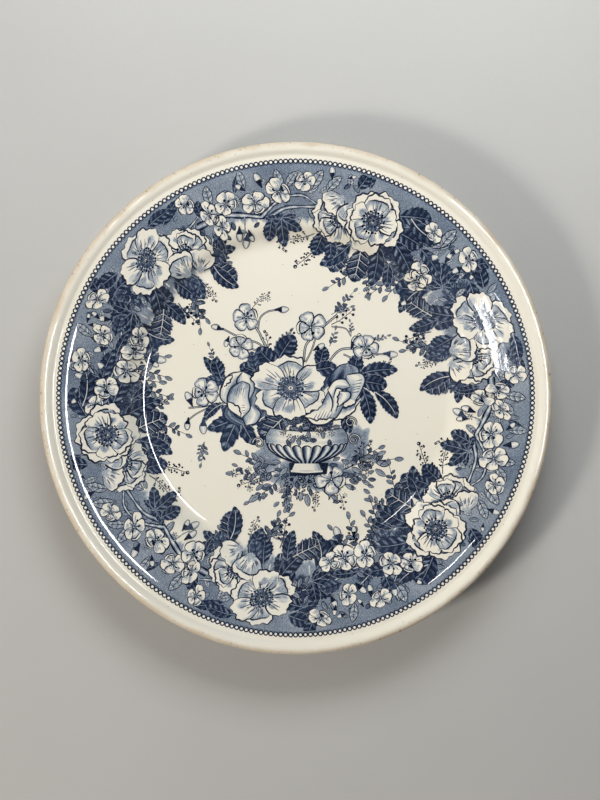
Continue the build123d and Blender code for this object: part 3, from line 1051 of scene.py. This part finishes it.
# %% The flowers of one strip
SMALL = [  # degrees, radius, size
    (21.5, 101, 0.95), (27, 102.5, 0.9), (35, 99, 1.05), (42, 103, 1.1), (23.5, 93, 0.95), (49, 108, 0.8),
    (91.5, 88, 1.0), (98.5, 86, 0.95), (95.5, 98, 1.0), (103, 103, 0.95), (86, 107, 0.8),
    (-27, 84, 1.0), (-34, 86, 1.0), (-22, 84, 0.9), (-16.5, 110, 0.95), (-40, 95, 0.95), (-25, 101, 0.85),
    (-33, 108, 0.9), (-45, 100, 0.9), (17, 110, 0.8),
]
BUDS = [  # which, degrees, radius, turn, size
    (0, 37.5, 106, -20, 1.1), (1, 48.5, 104, 10, 1.0), (0, 28.5, 90, 195, 1.0), (1, 31, 87, 170, 1.0),
    (2, 30.5, 86, 205, 0.9), (0, 33, 106, -50, 0.8), (1, 96, 76, 200, 1.0), (0, 98, 106, 190, 0.9),
    (1, 101, 109, 160, 0.8), (2, -27, 76, 180, 1.0), (0, -20, 100, -20, 0.9), (1, -21, 105, 20, 0.9),
    (0, -28, 97, -30, 1.0), (1, -23, 110, 80, 0.8), (2, -38, 104, 20, 0.8), (1, -43, 107, -30, 0.9),
    (0, 56, 110, -12, 0.9), (1, 60, 112, 60, 0.7), (2, 89, 95, 40, 0.8),
]
print(len(SMALL), "small flowers and", len(BUDS), "buds in a strip")


def flowers(number):
    """The blossoms, small flowers and buds of one strip."""
    strip = Strip(number)
    for which, t, r, turn, size in BUDS:
        strip.put(BUD[which], t, r, turn, size, 35)
    for step, (t, r, size) in enumerate(SMALL):
        if t > max(84, strip.next_flowers):
            continue
        oblique = 0.66 + 0.30 * ((step * 5 + number) % 7) / 7
        strip.put(FLOWER[(step * 3 + number) % 4], t, r, 47 * step, size * 1.06, 39, squash=oblique)
    strip.put(TURNED[0], 9.4, 91.0, 14, 0.95, 43)
    strip.put(OPEN[0], -0.4, 101, 62, 0.98, 66, squash=0.80)
    strip.put(TURNED[1], 60.0, 92, -165, 0.92, 43)
    strip.put(OPEN[1], 70, 96, -35, 1.0, 66, squash=0.95)
    return strip.motif


# %% [markdown]
# ## The bouquet
# The middle of the well has a bouquet in a low urn with fluted sides and scroll handles. It is drawn
# straight on the plate: +Y is its top. What lies furthest back comes first, and the big open blossom
# in front comes last. The urn is drawn from its own outline: every row of its grid is as wide as the
# bowl is there, so its flutes follow the bowl's swell without any of them being placed by hand.

# %% The urn's outline
URN_X, URN_TOP, URN_BASE = 5.6, -15.0, -32.4  # mm: middle, rim and bottom of the bowl
URN_SIDE = [(-15.0, 18.2), (-18.5, 20.6), (-22.0, 20.8), (-26.0, 19.0), (-29.5, 14.5), (-32.4, 7.0)]


def urn_half(y):
    heights, halves = np.array(URN_SIDE[::-1]).T
    return np.interp(y, heights, halves)


print("the urn is", 2 * max(half for _, half in URN_SIDE), "mm wide")


# %% A handle's scroll
def scroll(turns=1.35, r=3.0, pen=0.75):
    """A handle's end, rolled up like a fern."""
    a = np.linspace(0, turns * math.tau, 44)
    away = r * (1 - 0.80 * a / a[-1])
    line = np.column_stack([away * np.cos(a), away * np.sin(a)])
    motif = Motif()
    motif.line(line, pen + 0.5, 0.95, 0)
    motif.line(line, (pen - 0.3) * np.linspace(1, 0.3, len(line)), 0.15, 1)
    return motif


# %% The urn's bowl
def bowl(motif):
    """A round bowl, dark towards both sides, with its outline."""
    across = np.linspace(-1, 1, 33)
    heights = np.linspace(URN_TOP, URN_BASE, 20)
    sag = 2.0 * (1 - across**2)  # the rims of a round bowl curve down towards the eye
    wide = URN_X + urn_half(heights)[:, None] * across
    high = heights[:, None] - sag * np.linspace(0.9, 0.5, 20)[:, None]
    grid = np.stack([wide, high], -1)
    shade = 0.05 + 0.45 * smooth_step(0.40, 0.95, across) + 0.40 * smooth_step(0.60, 1.0, -across)
    motif.patch(grid, shade[None] + 0.06 * np.sin(heights * 2)[:, None], 0, strokes=0.25)
    for side in (0, -1):
        motif.line(grid[:, side], 0.5, 0.96, 1)
    motif.line(grid[-1], 0.9, 0.97, 1)
    motif.line(grid[0], 0.4, 0.95, 1)


# %% Its flutes
def flutes(motif, count=11):
    """Rounded lobes, dark on their left and pale on their right, closed by a dark arch on top."""
    edges = np.sin(np.radians(np.linspace(-84, 84, count + 1)))
    for left, right in zip(edges, edges[1:]):
        v = np.linspace(left + 0.012, right - 0.012, 6)
        u = np.linspace(0, 1, 9)[:, None]
        top, bottom = -23.4 - 2.0 * (1 - v**2) * 0.7, -31.8 - 1.3 * (1 - v**2)
        arch = 1.3 * (1 - ((v - v.mean()) / (right - left) * 2) ** 2)
        y = top + arch - 0.6 + (bottom - top - arch + 0.6) * u
        x = URN_X + urn_half(y) * v
        tone = np.array([0.98, 0.85, 0.45, 0.04, 0.04, 0.50])[None] + 0.35 * smooth_step(0.55, 1.0, u)
        tone = tone + 0.25 * max(0, left)
        motif.patch(np.stack([x, y], -1), np.clip(tone, 0, 1), 2, strokes=0.3)
        motif.line(np.column_stack([x[0], y[0]]), 0.60, 0.95, 3)
        motif.line(np.column_stack([x[:, 0], y[:, 0]]), 0.60, 0.97, 3)


# %% Its foot
FOOT_GAP = [(-9.0, -32.6), (11.0, -32.6), (-8.6, -39.4), (10.0, -38.4)]  # mm from the urn's middle, and y
FOOT_STEP = [(-6.0, -33.0), (6.0, -33.0), (-7.6, -36.6), (7.6, -36.6)]


def foot(motif):
    """A dark gap, a pale step in front of it and the step's shadow."""
    u, v = np.linspace(0, 1, 7)[:, None, None], np.linspace(0, 1, 17)[None, :, None]
    for corners, ink, level in ((FOOT_GAP, 0.96, 1), (FOOT_STEP, 0.05, 3)):
        corners = np.array(corners) + (URN_X, 0)
        top = corners[0] + (corners[1] - corners[0]) * v
        bottom = corners[2] + (corners[3] - corners[2]) * v
        side = 0.35 * smooth_step(0.7, 1.0, v[..., 0] * np.ones((7, 1))) * (ink < 0.5)
        motif.patch(top + (bottom - top) * u, ink + side, level, strokes=0.2)
    base = flow([(URN_X - 8.0, -36.8), (URN_X, -37.3), (URN_X + 8.0, -36.8)])
    motif.line(base, 1.0, 0.06, 3)
    motif.line(base - (0, 0.7), 0.5, 0.95, 4)


# %% The bouquet's leaves and stems
POSY_LEAVES = [  # kind, foot x, y, turn, size; a size below 0 is a mirrored leaf
    ("deep", -9.5, 18.0, 28, 1.0), ("deep", -8.5, 14.5, -50, 0.95), ("short", 8.0, 14.0, 85, 1.1),
    ("long", 32.0, 12.0, 72, 1.0), ("deep", 32.5, 8.5, 95, 0.85), ("hooked", 40.0, 3.0, 118, -1.0),
    ("long", 33.5, 5.0, 155, 0.95), ("broad", -4.5, -8.0, -138, 1.05), ("deep", -12.0, -8.5, -155, 0.75),
    ("narrow", -35.0, 9.0, -52, 1.15), ("short", -37.5, 9.5, -15, 0.95), ("grey", -36.0, 8.0, -88, 0.8),
    ("grey", -14.0, 5.0, -25, 1.1), ("short", 24.0, -9.0, 160, 0.8), ("grey", 18.0, -9.0, 200, 0.7),
    ("grey", -3.0, -15.0, 150, 0.7), ("short", 28.0, 10.0, 20, 1.1), ("deep", 12.0, 15.0, 8, 0.7),
    ("deep", -16.0, 12.0, -75, 0.8), ("long", -10.0, -6.0, 175, 0.6), ("deep", 8.0, -9.0, 190, 0.65),
    ("short", 14.0, -8.0, 165, 0.8), ("grey", -20.0, 14.0, -20, 0.8), ("hooked", -37.0, -3.0, -110, 0.7),
]
POSY_STEMS = [  # lines of the stems, and their pen width
    ([(-10, 18), (-16, 28), (-19, 34), (-24, 40)], 0.9),
    ([(-11, 18), (-18, 27), (-27, 30), (-37, 35)], 0.7),
    ([(-19, 33), (-18, 40), (-14, 43.5), (-8, 44.5)], 0.6), ([(-12, 19), (-20, 24), (-28, 26)], 0.7),
    ([(4, 18), (5, 26), (8, 30), (14, 36), (21, 42)], 0.9), ([(5, 18), (8, 24), (10, 30)], 0.6),
    ([(15, 16), (22, 24), (30, 25), (36, 26)], 0.9), ([(24, 22), (30, 20), (38, 22), (46, 22)], 0.6),
    ([(18, 36), (25, 35), (28, 31)], 0.4), ([(-33, 4), (-40, 1), (-46, 2)], 0.8),
    ([(-34, -2), (-44, -4), (-54, -5)], 0.6), ([(-38, -2), (-42, -8), (-47, -13)], 0.5),
    ([(-42, -4), (-50, -8), (-55, -12)], 0.5), ([(-33, -3), (-36, -8), (-37, -13)], 0.5),
]
print(len(POSY_LEAVES), "leaves and", len(POSY_STEMS), "stems")

# %% The bouquet's sprigs and shadows
POSY_SPRIGS = [  # kind, number, x, y, turn, size
    ("seeds", 0, -22, 45, 35, 0.75), ("leaves", 2, 20, 41, 20, 0.8), ("leaves", 0, 18, 42, 55, 0.7),
    ("berries", 1, 18, 37, 70, 1.0), ("leaves", 1, 28, 32, 10, 0.5), ("leaves", 0, 38, 28, 55, 0.6),
    ("seeds", 1, -14, 22, 12, 0.9), ("leaves", 1, 34, 21, 100, 0.5), ("leaves", 0, -46, -22, 175, 0.75),
    ("leaves", 1, -46, -22, 215, 0.6), ("leaves", 2, -8, -36, -112, 1.2),
    ("leaves", 0, -10, -34, -85, 1.25), ("seeds", 0, -12, -37, -125, 1.15),
    ("leaves", 2, -8, -40, -145, 1.0), ("leaves", 1, -4, -42, -165, 1.0),
    ("leaves", 2, 24, -36, 62, 1.35), ("leaves", 0, 28, -34, 45, 1.1), ("leaves", 1, 24, -40, 95, 1.0),
    ("seeds", 1, 28, -30, 70, 1.0), ("seeds", 0, 10, -44, 170, 0.8), ("seeds", 1, 14, -47, 140, 0.8),
    ("berries", 0, 22, -48, 150, 0.8), ("seeds", 0, -2, -44, -170, 0.7), ("leaves", 1, 17, 26, 35, 0.7),
    ("berries", 0, -3, 25, -8, 0.9), ("leaves", 2, -37, 14, -45, 0.7), ("seeds", 1, 41, 12, 62, 0.8),
    ("leaves", 0, -8, 27, 25, 0.6), ("berries", 1, 27, 20, 80, 0.8),
]
POSY_FLORETS = [  # x, y, size, number
    (-2, -41, 2.2, 1), (7, -42, 2.2, 1), (2, -48, 1.8, 0), (-4, -51, 1.5, 2), (35, -34, 1.6, 0),
    (39, -31, 1.4, 1), (-18, -42, 1.3, 2), (-31, -38, 1.1, 0), (-14, 50, 1.0, 2), (10, -51, 1.2, 2),
]
URN_SHADOWS = [  # x, y, length, width, turn, ink
    (8, -38, 46, 17, 90, 0.56), (30, -24, 22, 14, 20, 0.48), (-14, -30, 20, 14, 20, 0.45),
]
print(len(POSY_SPRIGS), "sprigs and", len(POSY_FLORETS), "florets")


# %% Small leaves below the urn
def fan_below_urn(motif, rng, tries=260, apart=2.7):
    """Leaflets and florets that fan out from the urn's foot, never on top of each other."""
    taken = []
    for _ in range(tries):
        a, far = rng.uniform(80, 272), rng.uniform(9, 31)
        x, y = 6 + 1.2 * far * math.sin(math.radians(a)), -32 + 0.72 * far * math.cos(math.radians(a))
        if any(math.hypot(x - p, y - q) < apart for p, q in taken):
            continue
        taken.append((x, y))
        if rng.random() < 0.75:
            kind, turn, size = rng.choice(LEAFLET), a + rng.uniform(-45, 45), rng.uniform(0.8, 1.25)
            motif.add(kind, x, y, turn, size, level=4 + rng.random())
        else:
            motif.add(FLORET[2], x, y, 0, rng.uniform(0.8, 1.2), level=4)


# %% The bouquet's foliage
def bouquet_foliage():
    rng = random.Random(400)
    motif = Motif()
    for step, (x, y, length, width, turn, ink) in enumerate(URN_SHADOWS):
        shadow = hollow(rng, length, width, ink, (1, 1, 0.95, 0.62, 0), 0.28)
        motif.add(shadow, x, y, turn, level=0.6 * step)
    for step, (kind, which, x, y, turn, size) in enumerate(POSY_SPRIGS):
        motif.add(SPRIG[kind][which], x, y, turn, size * 1.1, level=2 + step % 3)
    for x, y, size, which in POSY_FLORETS:
        motif.add(FLORET[which], x, y, 0, size, level=3)
    fan_below_urn(motif, rng)
    for route, width in POSY_STEMS:
        line = flow(route)
        motif.line(line, width + 0.35, 0.95, 6)
        motif.line(line, width * 0.45, 0.15, 7)
    motif.add(HAND[0], -28.5, -9.5, 205, 1.45, level=8)
    motif.add(hollow(rng, 16, 12, 0.85), 12, 10, 40, level=8)
    motif.add(hollow(rng, 20, 10, 0.80), -14, 0, 10, level=8)
    motif.add(hollow(rng, 30, 9, 0.88), 3, -9, 88, level=8.6)
    for step, (kind, x, y, turn, size) in enumerate(POSY_LEAVES):
        motif.add(LEAF[kind], x, y, turn, abs(size), math.copysign(1, size), level=18 + 2.5 * (step % 8))
    return motif


# %% The bouquet's flowers
POSY_BUDS = [  # which, x, y, turn, size
    (0, -10.5, 44.5, 88, 1.0), (1, -36.5, 34.5, -75, 1.1), (0, -33.5, 31, -160, 0.8),
    (2, 44, 22.5, 95, 0.9), (1, 28, 25, 20, 1.2), (0, -52, -4, -25, 1.1), (1, -54, -10, 185, 1.1),
    (2, -46.5, -10, 178, 1.0), (0, 9, 24, 60, 0.9), (1, 31.5, 27, 5, 1.0),
]
POSY_SMALL = [  # x, y, size
    (-25, 40.6, 1.0), (7.5, 35.6, 1.15), (35.2, 25.5, 0.95), (-28, 26.2, 0.95), (-45.8, 3, 1.05),
    (18, -40.8, 1.15),
]


def bouquet_flowers():
    motif = Motif()
    for which, x, y, turn, size in POSY_BUDS:
        motif.add(BUD[which], x, y, turn, size, level=40)
    for step, (x, y, size) in enumerate(POSY_SMALL):
        motif.add(SHADED_FLOWER[step % 2], x, y, 50 * step, size, 0.95, level=44)
    motif.add(CUP[0], -28.0, 0, 4, 1.0, 1.0, level=52)
    motif.add(CUP[1], 22.0, 2.0, 0, 1.0, 1.0, level=52)
    motif.add(open_blossom(14, 19.0, outer=6, inner=0), -2.5, 5.0, 0, 0.84, 1.20, level=70)
    return motif


# %% The urn with its handles
SCROLLS = [(-18.6, -22.6, 0, -1), (29.4, -21.0, 0, 1), (27.6, -12.2, 30, 1)]  # x, y, turn, side


def bouquet_urn():
    """The urn, its scrolls, flowers painted on the bowl, and fine leaves that hang over its edge."""
    vessel = Motif()
    bowl(vessel)
    flutes(vessel)
    foot(vessel)
    motif = Motif()
    motif.add(vessel, level=46)
    for x, y, turn, mirror in SCROLLS:
        motif.add(scroll(), x, y, turn, 1.0, mirror, level=48)
    rng = random.Random(77)
    for step in range(46):
        x, y = -7.0 + 26.0 * ((step * 7) % 23) / 23 + rng.uniform(-1, 1), rng.uniform(-21.5, -8.5)
        if step % 3:
            kind = LEAFLET[0] if step % 2 else LEAF["short"]
            motif.add(kind, x, y, rng.uniform(60, 300), 1.05 if step % 2 else 0.34, level=50 + step * 0.1)
        else:
            motif.add(FLORET[step % 3], x, y, rng.uniform(0, 90), 0.95, level=50 + step * 0.1)
    return motif


# %% [markdown]
# ## Laying the print
# A wet tissue is pressed on the plate and rubbed down, and each point of it lands on the clay right
# below. Shrinkwrap would do the same, but it loses the order of the thin films. Here each point takes
# the face's height at its own distance from the middle, and moves out along the face's normal by its
# level. Each strip is four pieces, from the clay up: blue ground, bead line, foliage and flowers. The
# bouquet is three. Each stands for the flat film that the CAD has there.

# %% The border
STRIP_NODES = ("border_print_2", "border_print_1", "border_print_3")
INSIDE_BEADS = GROUND_OUTER_R - 0.7  # mm: leaves and flowers stop here
PAST_BEADS = BEAD_LINE_R + 1.5
LAYERS = (  # part, what draws it, where it is trimmed
    ("ground", ground_strip, PAST_BEADS),
    ("beads", bead_chain, PAST_BEADS),
    ("foliage", foliage, INSIDE_BEADS),
    ("flowers", flowers, INSIDE_BEADS),
)
prints = []
for number, node in enumerate(STRIP_NODES):
    for part, draw, trim in LAYERS:
        piece = lay(draw(number), f"border_{part}_{number + 1}", trim)
        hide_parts(node)
        prints.append(piece)

# %% The bouquet
for part, draw in (("foliage", bouquet_foliage), ("urn", bouquet_urn), ("flowers", bouquet_flowers)):
    piece = lay(draw(), f"bouquet_{part}", PAST_BEADS)
    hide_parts("centre_print")
    prints.append(piece)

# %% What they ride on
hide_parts("front_glaze")
for piece in [face, *prints]:
    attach(piece, "root")
print(len(prints), "printed pieces")

# %% [markdown]
# ## Finishes
# A finish is a small sum: how much ink, how much stain, how rough. Sums read best as sums, so a wire
# between nodes is wrapped in a class that knows +, -, * and /, and each adds its Math node.


# %% A wire that can be reckoned with
class Wire:
    def __init__(self, finish, socket):
        self.finish, self.socket = finish, socket

    def reckon(self, operation, *values):
        return self.finish.node("ShaderNodeMath", {"operation": operation}, dict(enumerate(values)))

    def __add__(self, other):
        return self.reckon("ADD", self, other)

    def __sub__(self, other):
        return self.reckon("SUBTRACT", self, other)

    def __rsub__(self, other):
        return self.reckon("SUBTRACT", other, self)

    def __mul__(self, other):
        return self.reckon("MULTIPLY", self, other)

    def __truediv__(self, other):
        return self.reckon("DIVIDE", self, other)

    __radd__, __rmul__ = __add__, __mul__

    def clamped(self):
        return self.finish.node("ShaderNodeClamp", {}, {0: self})

    def between(self, low, high):
        """0 below low, 1 above high, and a soft step from one to the other."""
        t = ((self - low) / (high - low)).clamped()
        return t * t * (3 - 2 * t)


class Finish:
    """A material with one Principled shader, and the helpers that its sums need."""

    def __init__(self, name):
        self.material = bpy.data.materials.new(name)
        self.material.use_nodes = True
        self.tree = self.material.node_tree
        self.shader = self.tree.nodes["Principled BSDF"]
        self.place = self.node("ShaderNodeTexCoord", {}, {}, "Object")

    def node(self, kind, settings, inputs, output=0):
        """Adds a node: its settings first, then each input as a value or a wire."""
        node = self.tree.nodes.new(kind)
        for name, value in settings.items():
            if name == "stops":
                ramp = node.color_ramp.elements
                while len(ramp) < len(value):
                    ramp.new(0.5)
                for stop, (position, colour) in zip(ramp, value):
                    stop.position, stop.color = position, (*colour, 1)
            else:
                setattr(node, name, value)
        for name, value in inputs.items():
            self.feed(node.inputs[name], value)
        return Wire(self, node.outputs[output])

    def feed(self, socket, value):
        if isinstance(value, Wire):
            self.tree.links.new(value.socket, socket)
        else:
            socket.default_value = (*value, 1) if socket.type == "RGBA" else value

    def noise(self, size, detail=2.0, where=None):
        """Noise with patches about `size` metres across, 0.5 on average."""
        sockets = {"Vector": where or self.place, "Scale": 1 / size, "Detail": detail}
        return self.node("ShaderNodeTexNoise", {}, sockets)

    def mix(self, factor, first, second, blend="MIX"):
        """A mix of two colours."""
        settings = {"data_type": "RGBA", "blend_type": blend, "clamp_factor": True}
        return self.node("ShaderNodeMix", settings, {0: factor, 6: first, 7: second}, 2)

    def scaled(self, vector, by):
        return self.node("ShaderNodeVectorMath", {"operation": "MULTIPLY"}, {0: vector, 1: by})

    def bump(self, height, distance):
        sockets = {"Strength": 1.0, "Distance": distance, "Height": height}
        self.shade("Normal", self.node("ShaderNodeBump", {}, sockets))

    def shade(self, name, value):
        self.feed(self.shader.inputs[name], value)

    def radius(self):
        """Distance from the plate's axis, in metres."""
        flat = self.scaled(self.place, (1.0, 1.0, 0.0))
        return self.node("ShaderNodeVectorMath", {"operation": "LENGTH"}, {0: flat}, "Value")


# %% [markdown]
# ## Glazed cream
# Earthenware is cream right through, and its clear glaze is glossy with a faint waviness, like still
# water. Age shows as warmer patches, iron specks, and a brown stain where the lip has worn thin. The
# print lies under the same glaze, so print and bare face share one recipe for cream and one for gloss.

# %% The recipe for cream and gloss
CREAM = (0.845, 0.790, 0.675)
WARM_CREAM = (0.800, 0.715, 0.570)
STAIN = (0.47, 0.33, 0.19)
SPECK = (0.10, 0.06, 0.035)


def cream(finish):
    """Cream clay seen through the glaze: mottled, with specks of iron."""
    patches = (finish.noise(0.060, 3.0) * 1.5 - 0.25).clamped()
    colour = finish.mix(patches * 0.55, CREAM, WARM_CREAM)
    cells = {"voronoi_dimensions": "2D", "feature": "F1"}
    near = finish.node("ShaderNodeTexVoronoi", cells, {"Vector": finish.place, "Scale": 48.0}, "Distance")
    return finish.mix((1 - near.between(0.006, 0.016)) * 0.6, colour, SPECK)


def gloss(finish, roughness=0.022):
    """The glaze: nearly a mirror, a little uneven."""
    finish.shade("Roughness", roughness + 0.02 * finish.noise(0.022, 4.0))
    finish.shade("IOR", 1.52)
    finish.bump(finish.noise(0.009, 1.0) + 0.10 * finish.noise(0.0016, 1.0), 0.000012)


# %% The face and the underside
def glaze_finish(name, lip=True):
    """Cream under glaze. The lip is stained brown where the glaze is thin, with darker knocks."""
    finish = Finish(name)
    colour = cream(finish)
    if lip:
        r = finish.radius()
        uneven = finish.noise(0.012, 4.0)
        edge = (r + (uneven - 0.5) * 0.0026).between(lip_r * MM - 0.0036, lip_r * MM - 0.0002)
        colour = finish.mix(edge * (0.42 + 0.42 * uneven), colour, STAIN)
        knocks = finish.noise(0.0018, 3.0, finish.scaled(finish.place, (1.0, 1.0, 0.4))).between(0.60, 0.72)
        colour = finish.mix(edge * knocks * 0.55, colour, SPECK)
    finish.shade("Base Color", colour)
    gloss(finish)
    return finish.material


face.data.materials.clear()
face.data.materials.append(glaze_finish("cream_glaze"))


# %% The CAD pieces that stay
def dress(node, material):
    """Gives a CAD node that stays its own finish."""
    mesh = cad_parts[node].data
    mesh.materials.clear()
    mesh.materials.append(material)


for node in ("back_glaze", "base_glaze"):
    dress(node, glaze_finish(f"cream_{node}"))
    print(node, "is glazed")


# %% Bare clay of the foot
CHALKY, DIRTY = (0.66, 0.57, 0.44), (0.33, 0.27, 0.20)


def clay_finish():
    """The foot was wiped dry before firing: rough, chalky clay that has picked up dirt."""
    finish = Finish("bare_clay")
    grime = (finish.noise(0.006, 5.0) * 2 - 0.5).clamped()
    finish.shade("Base Color", finish.mix(grime * 0.6, CHALKY, DIRTY))
    finish.shade("Roughness", 0.75 + 0.2 * finish.noise(0.003, 3.0))
    finish.bump(finish.noise(0.0011, 4.0), 0.00008)
    return finish.material


dress("clay_body", clay_finish())

# %% [markdown]
# ## Cobalt ink
# There is only one ink. Where it lies thin it is a milky mid blue, and where the copper was cut deep it
# is almost black. So colour is the cream times what the ink lets through, and the amount of ink comes
# from the artwork. Strokes run along each petal and leaf, fine dots break up the middle tones, and
# slow patches make it stronger here and weaker there, as a tissue print always is.

# %% The ink
LETS_THROUGH = [  # amount of ink, and the share of red, green and blue that comes back through it
    (0.0, (1.0, 1.0, 1.0)),
    (0.2, (0.580, 0.650, 0.785)),
    (0.4, (0.308, 0.380, 0.525)),
    (0.55, (0.184, 0.244, 0.375)),
    (0.7, (0.080, 0.119, 0.224)),
    (0.85, (0.030, 0.048, 0.112)),
    (1.0, (0.007, 0.012, 0.037)),
]


def ink_finish(name):
    finish = Finish(name)
    amount = finish.node("ShaderNodeAttribute", {"attribute_name": "ink"}, {}, "Fac")
    strokes = finish.node("ShaderNodeAttribute", {"attribute_name": "strokes"}, {}, "Fac")
    grain = finish.node("ShaderNodeUVMap", {"uv_map": "grain"}, {})
    fine = finish.noise(1.0, 3.0, finish.scaled(grain, (0.45, 2.6, 1.0)))
    broad = finish.noise(1.0, 2.0, finish.scaled(grain, (0.16, 0.75, 1.0)))
    dots = finish.noise(0.00042, 1.0)
    middle = 4 * amount * (1 - amount)
    ink = amount + strokes * ((fine - 0.5) * 1.5 + (broad - 0.5) * 0.7) * (0.25 + 0.75 * middle.clamped())
    ink = ink + (dots - 0.5) * 0.75 * middle.clamped() + (finish.noise(0.026, 3.0) - 0.5) * 0.26 * amount
    wash = finish.node("ShaderNodeValToRGB", {"stops": LETS_THROUGH}, {0: ink.clamped()})
    finish.shade("Base Color", finish.mix(1.0, cream(finish), wash, "MULTIPLY"))
    gloss(finish)
    return finish.material


ink_material = ink_finish("cobalt_print")
for piece in prints:
    piece.data.materials.append(ink_material)
print("ink:", len(ink_material.node_tree.nodes), "nodes")

# %% [markdown]
# ## Floor, light and camera
# The plate lies face up on a pale floor and is looked at from straight above. A soft key light from the
# lower left gives the shadow on its other side, and a weak cool one fills from the top. A glaze is
# judged by what it mirrors, and one lamp can't do both jobs: so these two don't show in the glaze, and
# the lamps that do add no light of their own. An arc of short lamps high on the right draws the bright
# streaks on the flange, and two small strips on the left draw the thin arcs there. Each is placed so
# that its mirror image falls on a turn of the section.

# %% Floor
PALE_PAINT = (0.48, 0.462, 0.435), (0.52, 0.50, 0.47)


def pale_floor():
    clear_selection()
    bpy.ops.mesh.primitive_plane_add(size=6.0, location=(0, 0, 0))
    floor = bpy.context.object
    floor.name = "floor"
    finish = Finish("pale_paint")
    finish.shade("Base Color", finish.mix(finish.noise(0.08, 4.0), *PALE_PAINT))
    finish.shade("Roughness", 0.75)
    finish.bump(finish.noise(0.0025, 4.0), 0.00008)
    floor.data.materials.append(finish.material)
    return floor


pale_floor()


# %% Lights
def aimed(light, place):
    """Puts a light at a place and turns it towards the middle of the plate's foot."""
    light.location = place
    light.rotation_euler = light.location.to_track_quat("Z", "Y").to_euler()


def soft_light(name, place, width, height, watts, colour=(1, 1, 1)):
    """A lamp that lights the scene without showing in the glaze."""
    lamp = bpy.data.lights.new(name, "AREA")
    lamp.shape, lamp.size, lamp.size_y = "RECTANGLE", width, height
    lamp.energy, lamp.color = watts, colour
    light = bpy.data.objects.new(name, lamp)
    bpy.context.collection.objects.link(light)
    aimed(light, place)
    light.visible_glossy = False
    return light


def mirrored_light(name, place, width, height, watts):
    """A lamp that shows in the glaze, and adds next to nothing elsewhere."""
    light = soft_light(name, place, width, height, watts)
    light.visible_glossy, light.visible_diffuse = True, False
    return light


def arc_of_lights(first, last, count, height, near, far, watts):
    """Short lamps side by side on a part of a circle, whose mirror image is an even line."""
    middle = (near + far) / 2
    width = middle * math.radians(last - first) / count
    for number in range(count):
        heading = math.radians(first + (last - first) * (number + 0.5) / count)
        place = (middle * math.sin(heading), middle * math.cos(heading), height)
        mirrored_light(f"arc_{number + 1}", place, width, far - near, watts)


WARM, COOL = (1.0, 0.965, 0.91), (0.90, 0.955, 1.0)
soft_light("key", (-1.12, -0.62, 0.80), 0.24, 0.24, 14.8, WARM)
soft_light("fill_top", (0.08, 0.50, 0.42), 0.50, 0.25, 3.8, COOL)
arc_of_lights(37, 107, 7, 4.0, 0.50, 0.80, 4.5)
mirrored_light("strip_left", (-0.340, -0.104, 1.50), 0.13, 0.006, 0.09)
mirrored_light("strip_back", (-0.235, 0.245, 1.80), 0.09, 0.050, 0.7)
print(len(bpy.data.lights), "lamps")


# %% The room
def dim_overhead(world, strength):
    """An even room whose ceiling is dark, so that the glaze over the ink mirrors next to nothing."""
    world.use_nodes = True
    tree = world.node_tree
    direction = tree.nodes.new("ShaderNodeTexCoord")
    parts = tree.nodes.new("ShaderNodeSeparateXYZ")
    ramp = tree.nodes.new("ShaderNodeValToRGB")
    stops = ramp.color_ramp.elements
    stops[0].position, stops[0].color = 0.76, (0.96, 0.98, 1.0, 1)
    stops[1].position, stops[1].color = 0.95, (0.15, 0.16, 0.17, 1)
    background = tree.nodes["Background"]
    tree.links.new(direction.outputs["Generated"], parts.inputs[0])
    tree.links.new(parts.outputs["Z"], ramp.inputs[0])
    tree.links.new(ramp.outputs[0], background.inputs["Color"])
    background.inputs["Strength"].default_value = strength


world = bpy.data.worlds.new("studio")
dim_overhead(world, 0.25)
bpy.context.scene.world = world
bpy.context.scene.view_settings.view_transform = "Standard"

# %% Camera
CAMERA_HEIGHT = 0.75  # metres above the floor
PLATE_SHARE = 0.6425  # the plate's radius, as a share of half the picture's height
OFF_CENTRE = (0.0022, -0.0010)  # metres: the camera stands this far from the plate's axis
SENSOR = 24.0  # mm
lens_camera = bpy.data.cameras.new("camera")
camera = bpy.data.objects.new("camera", lens_camera)
bpy.context.collection.objects.link(camera)
reach = CAMERA_HEIGHT - lip_z * MM
lens_camera.sensor_fit = "VERTICAL"
lens_camera.sensor_height = SENSOR
lens_camera.lens = SENSOR / 2 * PLATE_SHARE * reach / (lip_r * MM)
lens_camera.clip_start = 0.01
camera.location = (*OFF_CENTRE, CAMERA_HEIGHT)  # unturned, a camera looks straight down
bpy.context.scene.camera = camera
print("lens", round(lens_camera.lens, 1), "mm")

# %% Nothing left selected
clear_selection()
